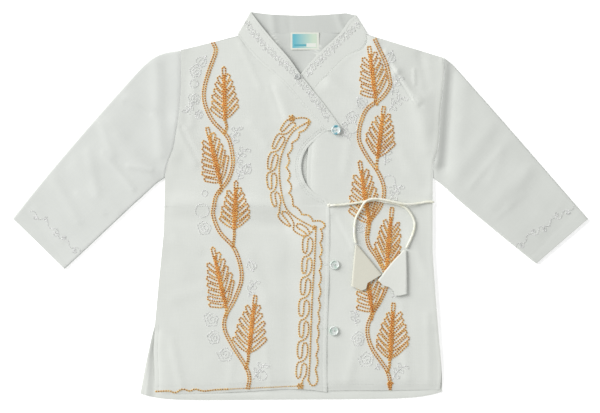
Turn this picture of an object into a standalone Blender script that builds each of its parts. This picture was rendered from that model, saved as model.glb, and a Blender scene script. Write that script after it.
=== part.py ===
"""Child's wrap-front kurta, laid flat, front up, size 18, in metres, +Z up, +Y towards the collar.

The back panel rests on the surface. The two fronts lie on it, the over front on the under front
where they wrap, and each sleeve is an open tube pressed flat. Tables give sizes in millimetres from
the middle of the garment, and every height comes from the walls and gaps that lie below it.
"""

import math

import bpy
import numpy as np
from mathutils import Vector

MM = 0.001

# Driving dimensions, in millimetres
WALL = 1.2
GAP = 0.3
LAYER = WALL + GAP
FRONT_BASE = LAYER
EASE = 0.6
CUFF_TO_CUFF = 679.4
HALF_SPAN = CUFF_TO_CUFF / 2
SHEET_STEP = 10.0
NECK_DIP_ROWS = 3
HEM_DIP_ROWS = 4
BAND_STEP = 8.0
BACK_COLUMNS = 8
OVER_COLUMNS = 17
UNDER_COLUMNS = 13
SEAM_GAP = 0.5
TUBE_STEP = 17.0
TUBE_COLUMNS = 12
CORD_DIAMETER = 2.8
CORD_LIFT = 0.6
CORD_POINT_EVERY = 7.0
BUTTON_RADIUS = 5.7
BUTTON_SIDES = 22
BUTTON_MERGE = 0.01
# Half section of a button from its middle, over the rim, to its middle below, in shares of its radius
BUTTON_PROFILE = (
    (0, 0.26), (0.62, 0.26), (0.74, 0.38), (0.88, 0.42), (0.98, 0.32), (1.0, 0.2), (0.94, 0.08),
    (0.8, 0.0), (0, 0.0),
)
TACK_RADIUS = 3.4
LABEL_WIDTH = 33.6
LABEL_DEPTH = 20.4
LABEL_THICKNESS = 0.6
TAB_WALL = 1.0
TAB_LOFT = 0.3
TAB_STEP = 9.0
TAB_COLUMNS = 10
COLLAR_COLUMNS = 5
LABEL_CORNER = 0.8
SHARP_DEG = 50

# The cut-out at the wrap edge is an arc, open towards the under front
CUTOUT = {"x": 38.5, "y": 46.0, "radius": 37.4, "start_deg": 128.0, "end_deg": 254.0, "steps": 12}

# The over front rises onto the under front across this band of x, wider where the neckband lies below
LAP_RAMP = 12.0
LAP_AT_WAIST = 4.0
LAP_AT_NECK = -15.0
LAP_TURN = (92.0, 116.0)

# Edges of the body, armhole then side seam, down the garment: y, x
LEFT_EDGE = (
    (183.8, -141.3), (143.7, -140.8), (120.1, -142.1), (105.3, -143.7), (76.4, -148.1), (66.0, -150.2),
    (53.0, -155.6), (42.0, -158.9), (33.0, -159.6), (-31.0, -161.2), (-93.5, -167.4), (-138.9, -171.5),
)
LEFT_FRONT_SLIT = ((-170.2, -173.4), (-190.3, -172.4), (-213.9, -172.1), (-222.6, -171.4))
LEFT_BACK_SLIT = ((-160.8, -176.8), (-182.0, -181.5), (-221.9, -189.0))
RIGHT_EDGE = (
    (174.8, 168.8), (162.0, 170.0), (149.9, 169.4), (114.2, 165.4), (74.4, 163.1), (64.0, 161.3),
    (53.0, 157.6), (43.0, 156.4), (33.0, 156.2), (-54.6, 156.0), (-111.2, 160.0), (-156.0, 163.6),
    (-178.5, 165.8),
)
RIGHT_FRONT_HEM = ((-200.9, 166.3), (-217.2, 164.8))
RIGHT_BACK_HEM = ((-200.9, 167.2), (-219.5, 167.2))
SHOULDER_LEFT = (200.0, -75.2)
SHOULDER_RIGHT = (202.2, 79.0)

# Neckband sections: seam x, y, free edge x, y, height of the middle, share of the fronts' ease,
# and the y where the front's own section meets its armhole or side
BAND = ("seam_x", "seam_y", "free_x", "free_y", "level", "soft", "side_y")
BAND_OVER = (
    (-73.2, 199.0, -57.0, 226.6, 2.4, 0.0, 183.8),
    (-65.0, 188.0, -47.5, 214.0, 2.4, 0.3, 172.0),
    (-50.3, 172.2, -30.5, 193.3, 2.4, 1.0, 158.0),
    (-33.1, 157.5, -13.5, 174.0, 3.0, 1.0, 146.0),
    (-17.4, 143.3, 0.0, 155.1, 3.6, 1.0, 134.0),
    (-1.9, 125.6, 15.2, 135.6, 3.6, 1.0, 120.0),
    (13.5, 107.9, 30.0, 117.0, 3.6, 1.0, 105.0),
    (31.2, 88.6, 49.9, 89.6, 3.6, 1.0, 88.0),
)
BAND_UNDER = (
    (78.8, 201.0, 63.2, 223.0, 2.4, 0.0, 174.8),
    (79.4, 194.4, 57.2, 218.6, 2.4, 0.0, 168.0),
    (73.6, 184.6, 48.8, 206.2, 2.2, 0.3, 161.0),
    (58.2, 177.2, 38.2, 195.4, 2.1, 1.0, 156.0),
    (47.4, 168.8, 25.6, 183.9, 2.1, 1.0, 149.0),
    (36.2, 157.2, 12.5, 170.0, 2.1, 1.0, 141.0),
    (23.2, 144.7, 0.6, 155.6, 2.1, 1.0, 132.0),
    (10.0, 128.6, -10.2, 143.3, 2.1, 1.0, 118.0),
)
BAND_BACK = (
    (-58.0, 203.7, -44.0, 226.9, 0.6, 0.0, 0.0),
    (-30.0, 203.7, -28.7, 225.5, 0.6, 0.0, 0.0),
    (5.0, 203.8, 5.5, 224.6, 0.6, 0.0, 0.0),
    (38.0, 204.0, 34.0, 225.9, 0.6, 0.0, 0.0),
    (66.0, 204.4, 54.0, 227.4, 0.6, 0.0, 0.0),
)
FOLD_LEFT = {"seam": (-75.2, 201.9), "free": (-59.2, 229.4), "side": -1}
FOLD_RIGHT = {"seam": (79.4, 204.0), "free": (66.0, 225.6), "side": 1}
FOLD_STEPS = 6

# Front edges below the neck: x, y, and the y at the side where that section ends
OVER_TIP = (30.9, 88.3, 88.0)
OVER_EDGE = (
    (32.2, 6.5, 3.0), (33.4, 0.9, -1.0), (34.5, -7.5, -8.0), (34.3, -68.7, -69.0),
    (31.2, -164.3, -165.0), (31.5, -220.1, -222.6),
)
UNDER_EDGE = ((9.0, 107.1, 103.0), (9.0, 64.6, 64.0), (7.3, 24.5, 24.0), (7.3, -218.6, -217.2))
OVER_HEM_HUMP = 4.2
HUMP_SKEW = 2.8
BACK_NECK_RISE = 2.0
BACK_HEM_DROP = -8.2
HEM_CORNER_POWER = 8

# Sections of a flat tube, across it from its top fold to its under fold, with the loft inside.
# A sleeve's run from armhole to cuff
TUBE_SECTION = ("top_x", "top_y", "under_x", "under_y", "loft")
SLEEVE_LEFT = (
    (-141.8, 183.8, -160.1, 33.0, 0.3),
    (-165.6, 178.7, -171.0, 25.1, 1.0),
    (-183.3, 167.3, -184.0, 13.0, 1.6),
    (-208.0, 141.0, -200.0, -1.6, 1.8),
    (-241.4, 103.2, -225.0, -25.0, 1.6),
    (-274.4, 65.0, -247.0, -45.9, 1.4),
    (-306.8, 26.4, -266.2, -63.8, 1.2),
    (-HALF_SPAN, -14.6, -278.0, -74.8, 0.9),
)
SLEEVE_RIGHT = (
    (169.3, 174.8, 156.7, 33.0, 0.1),
    (180.0, 166.3, 169.0, 23.2, 0.5),
    (200.2, 143.7, 183.3, 9.8, 1.2),
    (228.4, 111.9, 203.0, -7.2, 1.6),
    (256.4, 80.0, 221.0, -22.2, 1.6),
    (284.3, 48.0, 239.0, -37.0, 1.4),
    (312.0, 16.2, 259.2, -53.4, 1.2),
    (HALF_SPAN, -15.6, 278.3, -68.6, 0.9),
)

STRAIGHT_EDGE = ((0.0, 0.0), (1.0, 0.0))

# Largest folds: where it lies, ends x, y to x, y, half width, height of the ridge
FOLD = ("piece", "x0", "y0", "x1", "y1", "width", "height")
FOLDS = (
    ("body", -146.0, 1.0, -104.0, 0.0, 9.0, 1.0),
    ("body", -60.0, 2.0, -32.0, -2.0, 8.0, 0.8),
    ("body", -135.0, 178.0, -136.0, 112.0, 7.0, -0.5),
    ("body", -137.0, 88.0, -122.0, 54.0, 9.0, 1.0),
    ("body", -30.0, 136.0, -17.0, 106.0, 9.0, 0.9),
    ("body", -74.0, 116.0, -44.0, 94.0, 12.0, 0.7),
    ("body", 34.0, 142.0, 66.0, 126.0, 8.0, 1.0),
    ("body", 100.0, 178.0, 113.0, 158.0, 8.0, 0.9),
    ("body", 113.0, 158.0, 138.0, 123.0, 8.0, 0.9),
    ("body", 138.0, 123.0, 150.0, 68.0, 9.0, 0.9),
    ("body", 170.0, 164.0, 162.0, 72.0, 9.0, 1.3),
    ("body", 38.0, -9.0, 62.0, -44.0, 9.0, 0.9),
    ("body", -120.0, -70.0, -130.0, -205.0, 18.0, 0.8),
    ("body", -24.0, -60.0, -28.0, -205.0, 18.0, 0.6),
    ("body", 84.0, -96.0, 92.0, -205.0, 18.0, 0.8),
    ("body", 132.0, -40.0, 142.0, -190.0, 16.0, 0.7),
    ("sleeve_left", -170.0, 166.0, -165.0, 62.0, 9.0, 1.2),
    ("sleeve_left", -203.0, 126.0, -176.0, 114.0, 8.0, 0.8),
    ("sleeve_left", -176.0, 36.0, -226.0, 96.0, 10.0, 0.8),
    ("sleeve_left", -216.0, -6.0, -264.0, 46.0, 10.0, 0.7),
    ("sleeve_right", 194.0, 138.0, 184.0, 48.0, 10.0, 1.2),
    ("sleeve_right", 180.0, 30.0, 224.0, 92.0, 10.0, 0.8),
    ("sleeve_right", 226.0, -2.0, 264.0, 38.0, 10.0, 0.7),
)

# Cord routes, chosen by hand: x, y, and the height over the cloth where one passes over the other
TIE_OVER_ROUTE = (
    (35.2, 0.4, 0.0), (46.8, 1.0, 0.0), (58.6, 2.3, 0.0), (69.2, 3.7, 0.0), (78.7, 5.6, 0.0),
    (87.4, 6.6, 0.0), (94.0, 5.7, 0.0), (101.1, 4.4, 0.0), (110.5, 2.8, 0.0), (119.0, 0.2, 0.0),
    (126.2, -4.3, 0.0), (131.6, -11.5, 0.0), (134.8, -20.2, 0.0), (133.9, -29.3, 0.0),
    (129.8, -40.0, 0.0), (124.6, -50.4, 0.0),
)
TIE_SIDE_ROUTE = (
    (157.8, 4.2, 0.0), (150.6, 4.6, 0.0), (141.2, 3.2, 0.3), (132.6, 2.0, 1.5), (124.5, 1.9, 2.8),
    (117.0, 3.0, 3.2), (108.5, 5.0, 3.2), (101.0, 6.6, 3.2), (94.0, 7.8, 3.2), (87.4, 8.2, 3.2),
    (81.0, 7.1, 3.2), (75.5, 3.5, 3.1), (71.2, -3.8, 1.4), (67.8, -10.0, 0.3), (65.3, -15.7, 0.0),
    (63.7, -26.6, 0.0), (63.9, -35.6, 0.0), (65.6, -44.6, 0.0),
)

# Tabs at the cord ends: sections from the cord to the open edge, and how far that edge hangs past
# the last section, at shares of the way across it
TAB_LEFT = (
    (64.9, -46.4, 67.6, -46.4, 0.0),
    (62.8, -66.0, 80.0, -61.0, 0.2),
    (60.0, -94.6, 96.0, -80.8, 0.4),
)
TAB_LEFT_EDGE = ((0.0, 0.0), (0.25, -9.7), (0.4, -9.2), (0.5, -3.6), (0.64, -2.8), (1.0, 0.0))
TAB_RIGHT = (
    (121.6, -52.6, 125.2, -52.6, 0.0),
    (108.0, -66.5, 125.8, -74.0, 0.2),
    (94.6, -82.6, 126.4, -103.8, 0.4),
)
TAB_RIGHT_EDGE = ((0.0, -6.0), (0.24, -7.8), (0.4, -5.4), (0.6, -6.4), (0.7, -10.8), (0.85, -6.1), (1.0, 0.0))

BUTTONS = {
    "button_wrap": {"x": 42.1, "y": 89.4, "radius": BUTTON_RADIUS, "on": "band"},
    "button_mid": {"x": 40.6, "y": -69.7, "radius": BUTTON_RADIUS, "on": "under"},
    "button_low": {"x": 39.6, "y": -147.6, "radius": BUTTON_RADIUS, "on": "under"},
    "button_neck": {"x": -3.6, "y": 152.6, "radius": TACK_RADIUS, "on": "band"},
}
LABEL_AT = (5.2, 194.4)

COTTON = {"color": (0.80, 0.82, 0.79), "roughness": 0.75, "metallic": 0.0}
PEARL = {"color": (0.74, 0.84, 0.83), "roughness": 0.2, "metallic": 0.0}
SATIN = {"color": (0.86, 0.86, 0.78), "roughness": 0.4, "metallic": 0.0}
WOVEN_LABEL = {"color": (0.30, 0.62, 0.74), "roughness": 0.6, "metallic": 0.0}


def clear_scene():
    for item in list(bpy.data.objects):
        bpy.data.objects.remove(item, do_unlink=True)


def collection_named(name):
    group = bpy.data.collections.new(name)
    bpy.context.scene.collection.children.link(group)
    return group


def material(name, look):
    made = bpy.data.materials.new(name)
    made.use_nodes = True
    shader = made.node_tree.nodes["Principled BSDF"]
    shader.inputs["Base Color"].default_value = (*look["color"], 1.0)
    shader.inputs["Roughness"].default_value = look["roughness"]
    shader.inputs["Metallic"].default_value = look["metallic"]
    return made


def smoothstep(low, high, value):
    t = min(max((value - low) / (high - low), 0.0), 1.0)
    return t * t * (3 - 2 * t)


def smooth_rows(rows, step, corners=()):
    """Points about one step apart on a smooth curve through the rows, straight-ended at corners."""
    rows = np.array(rows, dtype=float)
    out = []
    last = len(rows) - 1
    for i in range(last):
        a, b = rows[i], rows[i + 1]
        before = rows[i - 1] if i > 0 and i not in corners else a
        after = rows[i + 2] if i + 1 < last and i + 1 not in corners else b
        start = (b - before) / (2.0 if before is not a else 1.0)
        end = (after - a) / (2.0 if after is not b else 1.0)
        count = max(1, math.ceil(np.linalg.norm((b - a)[:2]) / step))
        for k in range(count):
            t = k / count
            out.append(
                a * (2 * t**3 - 3 * t**2 + 1)
                + start * (t**3 - 2 * t**2 + t)
                + b * (3 * t**2 - 2 * t**3)
                + end * (t**3 - t**2)
            )
    out.append(rows[last])
    return np.array(out)


def edge_x(edge, y):
    """The x of a body edge at height y, along straight runs between its stations."""
    heights = [row[0] for row in edge][::-1]
    places = [row[1] for row in edge][::-1]
    return float(np.interp(y, heights, places))


def fold_height(piece, x, y):
    total = 0.0
    for values in FOLDS:
        row = dict(zip(FOLD, values))
        if row["piece"] != piece:
            continue
        along = np.array((row["x1"] - row["x0"], row["y1"] - row["y0"]))
        length = float(np.linalg.norm(along))
        offset = np.array((x - row["x0"], y - row["y0"]))
        t = float(offset @ along) / length
        away = abs(float(along[0] * offset[1] - along[1] * offset[0])) / length
        past = max(-t, t - length, 0.0)
        total += row["height"] * math.exp(-((away / row["width"]) ** 2) - (past / row["width"]) ** 2)
    return total


def ease(x, y):
    """How far the fronts stand off the back, beyond the gap at the seams."""
    return max(0.0, EASE + fold_height("body", x, y))


def lap_share(x, y):
    """0 where the over front lies on the back, 1 where it lies on the under front or neckband."""
    edge = LAP_AT_WAIST + (LAP_AT_NECK - LAP_AT_WAIST) * smoothstep(*LAP_TURN, y)
    return smoothstep(edge - LAP_RAMP, edge, x)


def under_bottom(x, y):
    return FRONT_BASE + ease(x, y)


def over_bottom(x, y):
    return FRONT_BASE + ease(x, y) + LAYER * lap_share(x, y)


def under_top(x, y):
    return under_bottom(x, y) + WALL


def band_top(x, y):
    return FRONT_BASE + ease(x, y) + LAYER + WALL


def finish(obj, group, look):
    group.objects.link(obj)
    obj.data.materials.append(look)
    return obj


def mesh_object(name, points, faces):
    mesh = bpy.data.meshes.new(name)
    mesh.from_pydata([Vector(p) * MM for p in points], [], faces)
    mesh.validate()
    mesh.shade_smooth()
    mesh.set_sharp_from_angle(angle=math.radians(SHARP_DEG))
    return bpy.data.objects.new(name, mesh)


def add_wall(obj, thickness, offset):
    solid = obj.modifiers.new("wall", "SOLIDIFY")
    solid.thickness = thickness * MM
    solid.offset = offset
    return obj


def sheet(name, left, right, columns, bottom, group, look, top_dip=0.0, end_dip=0.0, end_hump=0.0):
    """A wall lofted through sections that run from a left point to a right point."""
    points, faces = [], []
    rows = len(left)
    for k in range(rows):
        for j in range(columns + 1):
            u = j / columns
            x, y = left[k] * (1 - u) + right[k] * u
            flat_run = 1 - abs(2 * u - 1) ** HEM_CORNER_POWER
            near_top = max(0.0, 1 - k / NECK_DIP_ROWS)
            near_end = max(0.0, 1 - (rows - 1 - k) / HEM_DIP_ROWS)
            y += top_dip * flat_run * near_top + end_dip * flat_run * near_end
            y += end_hump * math.sin(math.pi * u**HUMP_SKEW) * near_end
            points.append((x, y, bottom(x, y)))
    width = columns + 1
    for k in range(rows - 1):
        for j in range(columns):
            a = k * width + j
            faces.append((a, a + width, a + width + 1, a + 1))
    return finish(add_wall(mesh_object(name, points, faces), WALL, 1.0), group, look)


def ribbon(name, sections, across, group, look):
    """A band swept through sections, each from its seam edge to its free edge at the wall's middle."""
    points, faces = [], []
    for seam, free in sections:
        for j in range(across + 1):
            points.append(tuple(np.array(seam) + (np.array(free) - np.array(seam)) * j / across))
    width = across + 1
    for k in range(len(sections) - 1):
        for j in range(across):
            a = k * width + j
            faces.append((a, a + width, a + width + 1, a + 1))
    return finish(add_wall(mesh_object(name, points, faces), WALL, 0.0), group, look)


def flat_tube(name, sections, bow, open_edge, floor, lift, wall, across, group, look):
    """An open tube pressed flat: each ring runs along its lower layer, round a fold, back on top."""
    points, faces = [], []
    count = len(sections)
    shares, hangs = zip(*open_edge)
    for k, values in enumerate(sections):
        section = dict(zip(TUBE_SECTION, values))
        top = np.array((section["top_x"], section["top_y"]))
        under = np.array((section["under_x"], section["under_y"]))
        across_way = (under - top) / np.linalg.norm(under - top)
        out_way = np.array((-across_way[1], across_way[0]))
        width = float(np.linalg.norm(under - top))
        u = k / (count - 1)

        def place(distance):
            w = distance / width
            spot = top + across_way * distance + bow(w) * (1 - u) ** 2
            return spot + out_way * u**4 * float(np.interp(w, shares, hangs))

        def heights(distance):
            x, y = place(distance)
            low = floor(x, y) + wall / 2
            return low, low + wall + GAP + section["loft"] + max(0.0, lift(x, y))

        ring = []
        radius = (heights(wall)[1] - heights(wall)[0]) / 2
        inset = wall / 2 + radius
        stops = [inset + (width - 2 * inset) * j / across for j in range(across + 1)]
        ring += [(*place(s), heights(s)[0]) for s in stops]
        for turn in (45, 90, 135):
            ring.append(turn_point(place, heights, stops[-1], 1, turn))
        ring += [(*place(s), heights(s)[1]) for s in reversed(stops)]
        for turn in (135, 90, 45):
            ring.append(turn_point(place, heights, stops[0], -1, turn))
        points += ring
        size = len(ring)
    for k in range(count - 1):
        for j in range(size):
            a, b = k * size + j, k * size + (j + 1) % size
            faces.append((a, b, b + size, a + size))
    return finish(add_wall(mesh_object(name, points, faces), wall, 0.0), group, look)


def turn_point(place, heights, stop, side, degrees):
    """A point on the half circle that joins a tube's two layers beyond the last stop."""
    low, high = heights(stop)
    radius = (high - low) / 2
    angle = math.radians(degrees - 90)
    spot = place(stop + side * radius * math.cos(angle))
    return (*spot, (low + high) / 2 + radius * math.sin(angle))


def path_at(rows, w):
    """The point a share w of the way along a polyline."""
    rows = np.array(rows, dtype=float)
    lengths = np.r_[0.0, np.cumsum(np.linalg.norm(np.diff(rows, axis=0), axis=1))]
    return np.array([np.interp(w * lengths[-1], lengths, rows[:, i]) for i in (0, 1)])


def armhole_bow(edge, last_y, shift):
    """How far the armhole seam stands off the straight line between its ends."""
    rows = [(x + shift, y) for y, x in edge if y > last_y] + [(edge_x(edge, last_y) + shift, last_y)]
    start, end = np.array(rows[0]), np.array(rows[-1])

    def bow(w):
        w = min(max(w, 0.0), 1.0)
        return path_at(rows, w) - (start + (end - start) * w)

    return bow


def band_sections(rows):
    """Seam and free points of the neckband, with their heights, from a table's rows."""
    out = []
    for row in smooth_rows(rows, BAND_STEP):
        seam_x, seam_y, free_x, free_y, level, soft = row[:6]
        low = level + soft * ease(seam_x, seam_y)
        high = level + soft * ease(free_x, free_y)
        out.append(((seam_x, seam_y, low), (free_x, free_y, high)))
    return out


def band_fold(fold, upper, lower):
    """Sections round one neck fold, from the front's height down to the back's."""
    seam, free = np.array(fold["seam"]), np.array(fold["free"])
    along = (free - seam) / np.linalg.norm(free - seam)
    out_way = np.array((-along[1], along[0])) * -fold["side"]
    radius = (upper - lower) / 2
    out = []
    for k in range(FOLD_STEPS + 1):
        angle = math.pi / 2 - math.pi * k / FOLD_STEPS
        shift = out_way * (radius * math.cos(angle) - radius - WALL / 2)
        z = (upper + lower) / 2 + radius * math.sin(angle)
        out.append(((*(seam + shift), z), (*(free + shift), z)))
    return out


def build_collar(group, look):
    upper, lower = BAND_OVER[0][4], BAND_BACK[0][4]
    under = band_sections(BAND_UNDER)[::-1]
    right_fold = band_fold(FOLD_RIGHT, upper, lower)
    back = band_sections(BAND_BACK)[::-1]
    left_fold = band_fold(FOLD_LEFT, upper, lower)[::-1]
    over = band_sections(BAND_OVER)
    sections = under + right_fold + back + left_fold + over
    return ribbon("collar", sections, COLLAR_COLUMNS, group, look)


def neck_rows(table):
    """The front's own edge along a neckband seam: x, y, and the y of its section at the side."""
    out = []
    for values in smooth_rows(table, BAND_STEP):
        row = dict(zip(BAND, values))
        seam = np.array((row["seam_x"], row["seam_y"]))
        free = np.array((row["free_x"], row["free_y"]))
        away = seam + (seam - free) / np.linalg.norm(seam - free) * SEAM_GAP
        out.append((away[0], away[1], row["side_y"]))
    return out


def cutout_rows():
    out = []
    for k in range(CUTOUT["steps"] + 1):
        share = k / CUTOUT["steps"]
        angle = math.radians(CUTOUT["start_deg"] + (CUTOUT["end_deg"] - CUTOUT["start_deg"]) * share)
        x = CUTOUT["x"] + CUTOUT["radius"] * math.cos(angle)
        y = CUTOUT["y"] + CUTOUT["radius"] * math.sin(angle)
        out.append((x, y, y))
    return out


def side_points(edge, heights):
    return np.array([(edge_x(edge, y), y) for y in heights])


def build_back(group, look):
    left = (SHOULDER_LEFT,) + LEFT_EDGE + LEFT_BACK_SLIT
    right = (SHOULDER_RIGHT,) + RIGHT_EDGE + RIGHT_BACK_HEM
    ends = ((SHOULDER_LEFT[0], SHOULDER_RIGHT[0]), (183.8, 186.0), (177.0, 174.8), (-221.9, -219.5))
    rows = smooth_rows([(a, b) for a, b in ends], SHEET_STEP, corners=(1, 2))
    return sheet("back", side_points(left, rows[:, 0]), side_points(right, rows[:, 1]),
                 BACK_COLUMNS, lambda x, y: 0.0, group, look, top_dip=BACK_NECK_RISE, end_dip=BACK_HEM_DROP)


def build_front_over(group, look):
    neck = neck_rows(BAND_OVER)
    rows = neck[:-1] + [OVER_TIP] + cutout_rows() + list(OVER_EDGE)
    tip = len(neck) - 1
    rows = smooth_rows(rows, SHEET_STEP, corners=(tip,))
    left = side_points(LEFT_EDGE + LEFT_FRONT_SLIT, rows[:, 2])
    return sheet("front_over", left, rows[:, :2], OVER_COLUMNS, over_bottom, group, look, end_hump=OVER_HEM_HUMP)


def build_front_under(group, look):
    rows = smooth_rows(neck_rows(BAND_UNDER) + list(UNDER_EDGE), SHEET_STEP)
    right = side_points(RIGHT_EDGE + RIGHT_FRONT_HEM, rows[:, 2])
    return sheet("front_under", rows[:, :2], right, UNDER_COLUMNS, under_bottom, group, look)


def build_sleeve(name, table, edge, shift, group, look):
    sections = smooth_rows(table, TUBE_STEP)
    bow = armhole_bow(edge, table[0][3], shift)
    return flat_tube(name, sections, bow, STRAIGHT_EDGE, lambda x, y: 0.0,
                     lambda x, y: fold_height(name, x, y), WALL, TUBE_COLUMNS, group, look)


def build_tab(name, table, open_edge, group, look):
    sections = smooth_rows(table, TAB_STEP)
    return flat_tube(name, sections, lambda w: np.zeros(2), open_edge,
                     lambda x, y: under_top(x, y) + CORD_LIFT, lambda x, y: TAB_LOFT,
                     TAB_WALL, TAB_COLUMNS, group, look)


def build_cord(name, route, group, look):
    rows = smooth_rows(route, 1.0)
    lengths = np.r_[0.0, np.cumsum(np.linalg.norm(np.diff(rows[:, :2], axis=0), axis=1))]
    count = round(lengths[-1] / CORD_POINT_EVERY) + 1
    curve = bpy.data.curves.new(name, "CURVE")
    curve.dimensions = "3D"
    curve.bevel_depth = CORD_DIAMETER / 2 * MM
    curve.bevel_resolution = 2
    curve.use_fill_caps = True
    line = curve.splines.new("POLY")
    line.points.add(count - 1)
    for i, at in enumerate(np.linspace(0.0, lengths[-1], count)):
        x, y, over = (float(np.interp(at, lengths, rows[:, c])) for c in range(3))
        z = under_top(x, y) + CORD_LIFT + CORD_DIAMETER / 2 + over
        line.points[i].co = (x * MM, y * MM, z * MM, 1.0)
    return finish(bpy.data.objects.new(name, curve), group, look)


def build_button(name, spot, group, look):
    """A turned disc with a raised rim round a dished face."""
    r = spot["radius"]
    mesh = bpy.data.meshes.new(name)
    mesh.from_pydata([(a * r * MM, 0.0, b * r * MM) for a, b in BUTTON_PROFILE],
                     [(i, i + 1) for i in range(len(BUTTON_PROFILE) - 1)], [])
    obj = bpy.data.objects.new(name, mesh)
    turn = obj.modifiers.new("turn", "SCREW")
    turn.steps = BUTTON_SIDES
    turn.render_steps = BUTTON_SIDES
    turn.use_merge_vertices = True
    turn.merge_threshold = BUTTON_MERGE * MM
    below = band_top if spot["on"] == "band" else under_top
    rim = max(below(spot["x"] + r * math.cos(a), spot["y"] + r * math.sin(a))
              for a in np.linspace(0, 2 * math.pi, 12))
    obj.location = (spot["x"] * MM, spot["y"] * MM, (rim + GAP) * MM)
    return finish(obj, group, look)


def build_label(group, look):
    """A flat woven label with slightly rounded corners, lying on the back inside the neck."""
    curve = bpy.data.curves.new("label", "CURVE")
    curve.dimensions = "2D"
    curve.fill_mode = "BOTH"
    curve.extrude = LABEL_THICKNESS / 2 * MM
    line = curve.splines.new("POLY")
    spots = []
    for sx, sy, start in ((1, 1, 0), (-1, 1, 90), (-1, -1, 180), (1, -1, 270)):
        for turn in (0, 45, 90):
            angle = math.radians(start + turn)
            spots.append((sx * (LABEL_WIDTH / 2 - LABEL_CORNER) + LABEL_CORNER * math.cos(angle),
                          sy * (LABEL_DEPTH / 2 - LABEL_CORNER) + LABEL_CORNER * math.sin(angle)))
    line.points.add(len(spots) - 1)
    for point, (x, y) in zip(line.points, spots):
        point.co = (x * MM, y * MM, 0.0, 1.0)
    line.use_cyclic_u = True
    obj = bpy.data.objects.new("label", curve)
    obj.location = (LABEL_AT[0] * MM, LABEL_AT[1] * MM, (WALL + GAP + LABEL_THICKNESS / 2) * MM)
    return finish(obj, group, look)


def main():
    clear_scene()
    group = collection_named("kurta")
    cotton = material("cotton", COTTON)
    satin = material("satin", SATIN)
    pearl = material("pearl", PEARL)
    build_back(group, cotton)
    build_front_under(group, cotton)
    build_front_over(group, cotton)
    build_sleeve("sleeve_left", SLEEVE_LEFT, LEFT_EDGE, -SEAM_GAP, group, cotton)
    build_sleeve("sleeve_right", SLEEVE_RIGHT, RIGHT_EDGE, SEAM_GAP, group, cotton)
    build_collar(group, cotton)
    build_label(group, material("woven_label", WOVEN_LABEL))
    for name, spot in BUTTONS.items():
        build_button(name, spot, group, pearl)
    build_cord("tie_over", TIE_OVER_ROUTE, group, satin)
    build_cord("tie_side", TIE_SIDE_ROUTE, group, satin)
    build_tab("tassel_left", TAB_LEFT, TAB_LEFT_EDGE, group, cotton)
    build_tab("tassel_right", TAB_RIGHT, TAB_RIGHT_EDGE, group, cotton)


main()
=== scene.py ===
"""A child's wrap-front kurta laid flat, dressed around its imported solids. Tables are in millimetres.

+Y runs towards the collar, and +Z up. Every cloth piece is a thin shell on its solid's own sections.
"""

import math

import bmesh
import bpy
import numpy as np
from mathutils import Matrix, Vector, noise
from mathutils.bvhtree import BVHTree


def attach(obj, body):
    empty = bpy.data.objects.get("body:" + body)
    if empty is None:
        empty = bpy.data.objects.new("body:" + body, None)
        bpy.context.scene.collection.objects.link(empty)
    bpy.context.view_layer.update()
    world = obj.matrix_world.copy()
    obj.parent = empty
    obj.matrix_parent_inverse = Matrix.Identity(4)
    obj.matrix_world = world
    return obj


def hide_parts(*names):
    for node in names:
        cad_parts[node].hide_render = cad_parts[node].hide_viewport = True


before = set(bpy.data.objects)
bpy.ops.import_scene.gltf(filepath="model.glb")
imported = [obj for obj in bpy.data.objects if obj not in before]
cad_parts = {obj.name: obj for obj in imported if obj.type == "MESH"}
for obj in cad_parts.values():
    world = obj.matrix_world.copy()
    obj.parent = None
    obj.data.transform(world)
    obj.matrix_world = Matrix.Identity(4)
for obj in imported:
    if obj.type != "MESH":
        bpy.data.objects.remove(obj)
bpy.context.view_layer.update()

MM = 0.001

# Cloth and how it lies
WALL = 1.2
GAP = 0.3
LAYER = WALL + GAP
FRONT_BASE = LAYER
EASE = 0.6
SEAM_GAP = 0.5
TUCK = 0.7
NECK_TUCK = 2.0
BAND_STEP = 8.0
CLOTH = 0.5
BAND_CLOTH = 0.8
TAB_WALL = 1.0
TAB_CLOTH = 0.5
TAB_LOFT = 0.3
ROW_STEP = 2.6
COLUMNS = {"back": 86, "front_over": 74, "front_under": 104}
# Rows and columns of points beside a hem: how far in from the edge
HEM_STOPS = (0.0, 0.5, 1.4, 2.8, 4.2, 5.0, 5.8, 7.2)
# Relief of hems and seams: height, then how wide it is, and for the ridge how far in it lies
HEM_STEP = 0.14
HEM_GROOVE = (-0.12, 0.9)
HEM_EDGE = (-0.15, 0.8)
SEAM_TURN = (-0.25, 1.2)
SEAM_RIDGE = (0.12, 2.4, 3.2)
CUFF_DEPTH = 16.0
# Cloth is calmer within this distance of an edge, down to this share of its unevenness
CALM_RUN = 12.0
CALM_SHARE = 0.35
# How far in from its left, right, lower and upper edge a sheet settles
SETTLE_RUNS = (6.0, 14.0, 7.0, 2.5)
# Points across the neckband, as shares of its width, and its dips at edges and stitches:
# share, how wide, how deep
BAND_SHARES = (0.0, 0.015, 0.05, 0.09, 0.14, 0.22, 0.32, 0.42, 0.52, 0.62, 0.72, 0.81, 0.88, 0.93, 0.965, 1.0)
BAND_DIPS = ((0.0, 0.03, 0.12), (0.09, 0.04, 0.08), (0.9, 0.04, 0.12), (1.0, 0.03, 0.15))
# How far the neckband's left side stands up, where up the garment it starts, and where it lies flat again
BAND_RISE = 1.4
BAND_RISE_LOW = (158.0, 176.0)
BAND_RISE_HIGH = (228.0, 214.0)
# The neck's hollow gets a darker cotton, painted shade, below this height and above this y
NECK_SHADE_BELOW = 2.0
NECK_SHADE_ABOVE_Y = 120.0

CORD_DIAMETER = 2.8
CORD_LIFT = 0.6
BUTTON_RADIUS = 5.7
TACK_RADIUS = 3.4
HALF_SPAN = 339.7

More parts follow.
